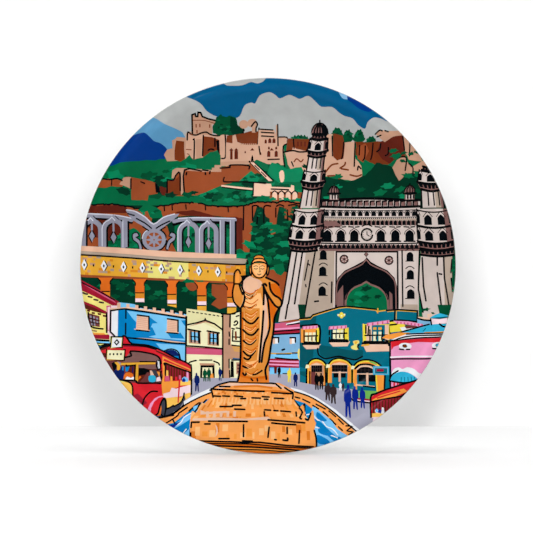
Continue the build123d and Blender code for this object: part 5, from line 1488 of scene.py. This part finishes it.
def cutPicture():                                   # triangles cut along every outline and ring
    points, edges = [], []

    def addLoop(loop):
        first = len(points)
        points.extend(loop)
        edges.extend((first + k, first + (k + 1) % len(loop)) for k in range(len(loop)))

    for r in ringRadii():
        turns = [2 * math.pi * k / plate["sides"] for k in range(plate["sides"])]
        addLoop([(r / unit * math.cos(a), r / unit * math.sin(a)) for a in turns])
    for _, outline, clip in picture:
        addLoop(outline)
        if clip:
            addLoop(clip)
    made = delaunay_2d_cdt(points, edges, [], 0, 0.004)
    corners, triangles = made[0], made[2]
    corners = np.array([tuple(c) for c in corners])
    triangles = np.array(triangles)
    middle = corners[triangles].mean(1)
    reach = printEnd / unit * math.cos(math.pi / plate["sides"])
    triangles = triangles[np.hypot(middle[:, 0], middle[:, 1]) < reach]
    kept, triangles = np.unique(triangles.ravel(), return_inverse=True)
    corners, triangles = corners[kept], triangles.reshape(-1, 3)
    middle = corners[triangles].mean(1)
    return corners, triangles, topInk(middle[:, 0], middle[:, 1])


corners, triangles, triangleInks = cutPicture()
report(f"picture cut into {len(triangles)} triangles")


def nodesOf(material):                              # empty node tree with a shader on its output
    material.use_nodes = True
    tree = material.node_tree
    tree.nodes.clear()
    shader = tree.nodes.new("ShaderNodeBsdfPrincipled")
    output = tree.nodes.new("ShaderNodeOutputMaterial")
    tree.links.new(shader.outputs["BSDF"], output.inputs["Surface"])
    return tree, shader


def linear(value):                                  # 0..255 screen value to the shader's scale
    share = value / 255
    return share / 12.92 if share <= 0.04045 else ((share + 0.055) / 1.055) ** 2.4


def addNoise(tree, scale, detail):
    place = tree.nodes.new("ShaderNodeTexCoord")
    noise = tree.nodes.new("ShaderNodeTexNoise")
    noise.inputs["Scale"].default_value = scale
    noise.inputs["Detail"].default_value = detail
    tree.links.new(place.outputs["Object"], noise.inputs["Vector"])
    return noise.outputs["Fac"]


def remap(tree, source, low, high, fromLow=0.3, fromHigh=0.7):
    node = tree.nodes.new("ShaderNodeMapRange")
    node.inputs["From Min"].default_value = fromLow
    node.inputs["From Max"].default_value = fromHigh
    node.inputs["To Min"].default_value = low
    node.inputs["To Max"].default_value = high
    tree.links.new(source, node.inputs["Value"])
    return node.outputs["Result"]


def blend(tree, low, high, share, kind="MIX"):      # each input is a fixed value or another node's output
    node = tree.nodes.new("ShaderNodeMix")
    node.data_type = "RGBA"
    node.blend_type = kind
    for socket, value in (("A", low), ("B", high), ("Factor", share)):
        if isinstance(value, bpy.types.NodeSocket):
            tree.links.new(value, node.inputs[socket])
        else:
            node.inputs[socket].default_value = value
    return node.outputs["Result"]


def addBump(tree, shader, height, strength, distance):
    bump = tree.nodes.new("ShaderNodeBump")
    bump.inputs["Strength"].default_value = strength
    bump.inputs["Distance"].default_value = distance
    tree.links.new(height, bump.inputs["Height"])
    tree.links.new(bump.outputs["Normal"], shader.inputs["Normal"])
    tree.links.new(bump.outputs["Normal"], shader.inputs["Coat Normal"])


glaze = {
    "brightness": 0.76,                             # how much the clear glaze dims the inks
    "mottle": 0.05,                                 # how unevenly the ink lies
    "roughness": (0.14, 0.2),
    "specular": 0.25,
    "coat": 0.3,
    "coatRoughness": 0.04,
    "ripple": (0.35, 0.00004),                      # strength and height of its faint orange-peel
}


def inkMaterial(name):
    material = bpy.data.materials.new("ink_" + name)
    tree, shader = nodesOf(material)
    r, g, b = (linear(v) * glaze["brightness"] for v in inks[name])
    thickness = remap(tree, addNoise(tree, 150, 3), 1 - glaze["mottle"], 1 + glaze["mottle"])
    tree.links.new(blend(tree, (r, g, b, 1), thickness, 1, "MULTIPLY"), shader.inputs["Base Color"])
    tree.links.new(remap(tree, addNoise(tree, 60, 4), *glaze["roughness"]), shader.inputs["Roughness"])
    shader.inputs["Specular IOR Level"].default_value = glaze["specular"]
    shader.inputs["Coat Weight"].default_value = glaze["coat"]
    shader.inputs["Coat Roughness"].default_value = glaze["coatRoughness"]
    addBump(tree, shader, addNoise(tree, 220, 2), *glaze["ripple"])
    return material


def underRings():                                   # the coat's hidden side, from its edge to the middle
    steps = [math.radians(plate["printTurn"]) * (1 - k / 6) for k in range(7)]
    rings = [plate["crestLine"] + plate["crestRadius"] * math.sin(a) for a in steps]
    rings += [plate["crestLine"] - plate["crestRadius"] * math.sin(slope * k / 4) for k in range(1, 5)]
    rings += [plate["wellRadius"] + plate["bendRadius"] * math.sin(slope * (1 - k / 5)) for k in range(6)]
    return rings + [plate["wellRadius"] * 0.5]


layout = {                                          # where the surfaces lie in the square of the UV map
    "frontRadius": 0.499,
    "backMiddle": 0.075,                            # the hidden side is a small disc in a corner
    "backRadius": 0.068,
    "edgeRing": (0.0685, 0.0735),                   # the edge is a narrow ring round that disc
}


def printedSurface():                               # points, normals, UV places and faces of the coat
    verts, normals, spots = [], [], []
    spread = layout["frontRadius"]
    for x, z in corners:
        x, z = x * unit, z * unit
        r = math.hypot(x, z)
        height, lean = faceAt(min(r, printEnd))
        verts.append((x, -height, z))
        out = (x / r, z / r) if r else (0, 0)
        normals.append((-math.sin(lean) * out[0], -math.cos(lean), -math.sin(lean) * out[1]))
        spots.append((0.5 + x / printEnd * spread, 0.5 + z / printEnd * spread))
    faces = [tuple(int(i) for i in t) for t in triangles]
    # hidden side, rings of points joined up
    count, middle, depth = plate["sides"], layout["backMiddle"], plate["printDepth"]
    below = []
    for r in underRings():
        height, lean = faceAt(r)
        inner = r + depth * math.sin(lean)
        reach = r / printEnd * layout["backRadius"]
        row = []
        for k in range(count):
            a = 2 * math.pi * k / count
            row.append(len(verts))
            verts.append((inner * math.cos(a), -height + depth * math.cos(lean), inner * math.sin(a)))
            normals.append((math.sin(lean) * math.cos(a), math.cos(lean), math.sin(lean) * math.sin(a)))
            spots.append((middle + reach * math.cos(a), middle + reach * math.sin(a)))
        below.append(row)
    centre = len(verts)
    verts.append((0, -plate["wellHeight"] + depth, 0))
    normals.append((0, 1, 0))
    spots.append((middle, middle))
    steps = [(k, (k + 1) % count) for k in range(count)]
    for outer, inner in zip(below, below[1:]):
        faces += [(outer[k], inner[k], inner[m], outer[m]) for k, m in steps]
    faces += [(below[-1][k], centre, below[-1][m]) for k, m in steps]
    return verts, normals, spots, faces, below[0]


def turnOf(point):                                  # how far round the plate a point lies
    return math.atan2(point[2], point[0]) % (2 * math.pi)


def edgeFaces(verts, faces, lowerRim):              # outermost loop of the front joined to the hidden side
    sides = [side for t in faces[:len(triangles)] for side in ((t[0], t[1]), (t[1], t[2]), (t[2], t[0]))]
    shared = set(sides)
    count = len(lowerRim)
    strip = []
    for a, b in sides:
        if (b, a) in shared:
            continue
        k, m = (round(turnOf(verts[i]) / (2 * math.pi) * count) % count for i in (a, b))
        strip.append((b, a, lowerRim[k], lowerRim[m]) if k != m else (b, a, lowerRim[k]))
    return strip


def buildFace():
    verts, normals, spots, faces, lowerRim = printedSurface()
    strip = edgeFaces(verts, faces, lowerRim)
    mesh = bpy.data.meshes.new("printed_face")
    mesh.from_pydata(verts, [], faces + strip)
    mesh.update()
    used = sorted(set(int(i) for i in triangleInks))
    for i in used:
        mesh.materials.append(inkMaterial(inkNames[i]))
    slots = [used.index(i) for i in triangleInks]
    hiddenSlot = used.index(inkNames.index("cloud"))
    slots += [hiddenSlot] * (len(mesh.polygons) - len(slots))
    mesh.polygons.foreach_set("material_index", slots)
    layer = mesh.uv_layers.new(name="OFBake")
    loopVerts = np.zeros(len(mesh.loops), int)
    mesh.loops.foreach_get("vertex_index", loopVerts)
    layer.data.foreach_set("uv", np.array(spots)[loopVerts].ravel())
    middle, (ringInner, ringOuter) = layout["backMiddle"], layout["edgeRing"]
    hiddenRim = set(lowerRim)
    for face in mesh.polygons[len(faces):]:
        for loop in face.loop_indices:
            i = mesh.loops[loop].vertex_index
            a = turnOf(verts[i])
            reach = ringInner if i in hiddenRim else ringOuter
            layer.data[loop].uv = (middle + reach * math.cos(a), middle + reach * math.sin(a))
    mesh.polygons.foreach_set("use_smooth", [True] * len(mesh.polygons))
    mesh.normals_split_custom_set_from_vertices(normals)
    piece = bpy.data.objects.new("printed_face", mesh)
    bpy.context.scene.collection.objects.link(piece)
    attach(piece, "plate")
    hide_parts("printed_coat")


buildFace()
report("printed face built")


ceramic = {
    "white": (0.82, 0.815, 0.795, 1),
    "creamy": (0.76, 0.75, 0.72, 1),                # where the glaze has pooled
    "clay": (0.66, 0.61, 0.53, 1),
    "wiped": (-0.00045, -0.0002),                   # depths between which bare clay takes over
    "ragged": 0.0003,                               # how far that line wanders
    "roughness": (0.24, 0.75),                      # of the glaze, of the clay
    "coat": (0.5, 0),
    "coatRoughness": 0.08,
    "ripple": (0.25, 0.00003),
}


def ceramicMaterial():
    material = bpy.data.materials.new("white_glazed_clay")
    tree, shader = nodesOf(material)
    pooling = remap(tree, addNoise(tree, 18, 2), 0, 1)
    glazed = blend(tree, ceramic["creamy"], ceramic["white"], pooling)
    # the seat of the foot ring is wiped clear of glaze, bare and rough
    place = tree.nodes.new("ShaderNodeTexCoord")
    axes = tree.nodes.new("ShaderNodeSeparateXYZ")
    tree.links.new(place.outputs["Object"], axes.inputs["Vector"])
    wander = tree.nodes.new("ShaderNodeMath")
    wander.operation = "MULTIPLY_ADD"
    wander.inputs[1].default_value = ceramic["ragged"]
    tree.links.new(addNoise(tree, 260, 3), wander.inputs[0])
    tree.links.new(axes.outputs["Y"], wander.inputs[2])
    bare = remap(tree, wander.outputs["Value"], 0, 1, *ceramic["wiped"])
    tree.links.new(blend(tree, glazed, ceramic["clay"], bare), shader.inputs["Base Color"])
    tree.links.new(remap(tree, bare, *ceramic["roughness"], 0, 1), shader.inputs["Roughness"])
    tree.links.new(remap(tree, bare, *ceramic["coat"], 0, 1), shader.inputs["Coat Weight"])
    shader.inputs["Coat Roughness"].default_value = ceramic["coatRoughness"]
    addBump(tree, shader, addNoise(tree, 150, 2), *ceramic["ripple"])
    return material


brass = {
    "dull": (0.60, 0.42, 0.17, 1),
    "bright": (0.78, 0.58, 0.27, 1),
    "roughness": (0.22, 0.4),
    "drawMarks": (0.3, 0.00002),
}


def brassMaterial():
    material = bpy.data.materials.new("brass_wire")
    tree, shader = nodesOf(material)
    shader.inputs["Metallic"].default_value = 1
    tarnish = remap(tree, addNoise(tree, 500, 4), 0, 1)
    tree.links.new(blend(tree, brass["dull"], brass["bright"], tarnish), shader.inputs["Base Color"])
    tree.links.new(remap(tree, addNoise(tree, 900, 3), *brass["roughness"]), shader.inputs["Roughness"])
    addBump(tree, shader, addNoise(tree, 2500, 2), *brass["drawMarks"])
    return material


for name, make in (("plate_body", ceramicMaterial), ("hanging_bail", brassMaterial)):
    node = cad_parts[name]
    node.data.materials.clear()
    node.data.materials.append(make())


studio = {
    "floorSize": 12,
    "wallSize": 6,
    "wallBehind": 0.189,                            # the backdrop stands this far behind the plate's seat
    "floorGap": 0.00005,
    "paper": 0.9,                                   # tone of floor and wall
    "paperGrain": 0.01,
    "cameraAway": 1.2,                              # from the plate's widest part
    "fieldWidth": 0.288,                            # width seen there
    "cameraPlace": (-0.0008, -0.0004),
    "widest": 0.65,                                 # share of the roll's radius from crest to widest part
    "room": (                                       # kind of ray, and how bright the room is to it
        (None, 0.2),
        ("Is Glossy Ray", 0.03),
        ("Is Camera Ray", 0.93),
    ),
    "lamps": (                                      # name, place, size, watts, whether the glaze mirrors it
        ("key", (0, -0.74, 0.09), (0.09, 0.09), 2.9, False),
        ("fill", (0, -1.5, 0.2), (1.6, 1.0), 5.4, False),
        ("overhead", (-0.1, -0.25, 1.4), (1.6, 0.8), 14, False),
        ("glint", (-0.5, -1.1, 0.75), (0.5, 0.16), 0.6, True),
        ("behind", (-0.8, 1.3, 0.8), (0.7, 0.7), 12, True),
    ),
}


def paperMaterial(name, clearBehind=False):
    material = bpy.data.materials.new(name)
    tree, shader = nodesOf(material)
    grain = studio["paperGrain"]
    dark, light = ((studio["paper"] + change,) * 3 + (1,) for change in (-grain, grain))
    tree.links.new(blend(tree, dark, light, addNoise(tree, 12, 3)), shader.inputs["Base Color"])
    shader.inputs["Roughness"].default_value = 0.9
    shader.inputs["Specular IOR Level"].default_value = 0.1
    if clearBehind:                                 # the wall doesn't hide the plate's back
        sides = tree.nodes.new("ShaderNodeNewGeometry")
        clear = tree.nodes.new("ShaderNodeBsdfTransparent")
        choose = tree.nodes.new("ShaderNodeMixShader")
        output = next(n for n in tree.nodes if n.type == "OUTPUT_MATERIAL")
        tree.links.new(sides.outputs["Backfacing"], choose.inputs[0])
        tree.links.new(shader.outputs["BSDF"], choose.inputs[1])
        tree.links.new(clear.outputs["BSDF"], choose.inputs[2])
        tree.links.new(choose.outputs["Shader"], output.inputs["Surface"])
    return material


def makeStage():
    level = cadBox[0][2] - studio["floorGap"]
    deselectAll()
    bpy.ops.mesh.primitive_plane_add(size=studio["floorSize"], location=(0, 0, level))
    floor = bpy.context.object
    floor.name = "floor"
    floor.data.materials.append(paperMaterial("studio_floor"))
    floor.visible_glossy = False
    size = studio["wallSize"]
    place = (0, studio["wallBehind"], level + size / 2)
    bpy.ops.mesh.primitive_plane_add(size=size, location=place, rotation=(math.pi / 2, 0, 0))
    wall = bpy.context.object
    wall.name = "wall"
    wall.data.materials.append(paperMaterial("studio_wall", clearBehind=True))


def makeLamps():
    for name, place, size, watts, mirrored in studio["lamps"]:
        light = bpy.data.lights.new(name, "AREA")
        light.shape = "RECTANGLE"
        light.size, light.size_y = size
        light.energy = watts
        lamp = bpy.data.objects.new(name, light)
        bpy.context.scene.collection.objects.link(lamp)
        lamp.location = place
        lamp.rotation_euler = (-Vector(place)).to_track_quat("-Z", "Y").to_euler()
        lamp.visible_glossy = mirrored


def makeRoom():
    world = bpy.data.worlds.new("studio")
    bpy.context.scene.world = world
    world.use_nodes = True
    tree = world.node_tree
    tree.nodes.clear()
    ray = tree.nodes.new("ShaderNodeLightPath")
    output = tree.nodes.new("ShaderNodeOutputWorld")
    last = None
    for seenBy, strength in studio["room"]:
        room = tree.nodes.new("ShaderNodeBackground")
        room.inputs["Color"].default_value = (1, 1, 1, 1)
        room.inputs["Strength"].default_value = strength
        result = room.outputs["Background"]
        if seenBy:
            choose = tree.nodes.new("ShaderNodeMixShader")
            tree.links.new(ray.outputs[seenBy], choose.inputs[0])
            tree.links.new(last, choose.inputs[1])
            tree.links.new(result, choose.inputs[2])
            result = choose.outputs["Shader"]
        last = result
    tree.links.new(last, output.inputs["Surface"])


def makeCamera():
    lens = bpy.data.cameras.new("camera")
    lens.sensor_width = 36
    lens.lens = lens.sensor_width * studio["cameraAway"] / studio["fieldWidth"]
    camera = bpy.data.objects.new("camera", lens)
    bpy.context.scene.collection.objects.link(camera)
    widest = plate["crestHeight"] - plate["crestRadius"] * studio["widest"]
    x, z = studio["cameraPlace"]
    camera.location = (x, -widest - studio["cameraAway"], z)
    camera.rotation_euler = (math.pi / 2, 0, 0)
    bpy.context.scene.camera = camera
    bpy.context.scene.view_settings.view_transform = "Standard"
    bpy.context.scene.view_settings.look = "None"


makeStage()
makeLamps()
makeRoom()
makeCamera()
report("stage, lamps and camera placed")
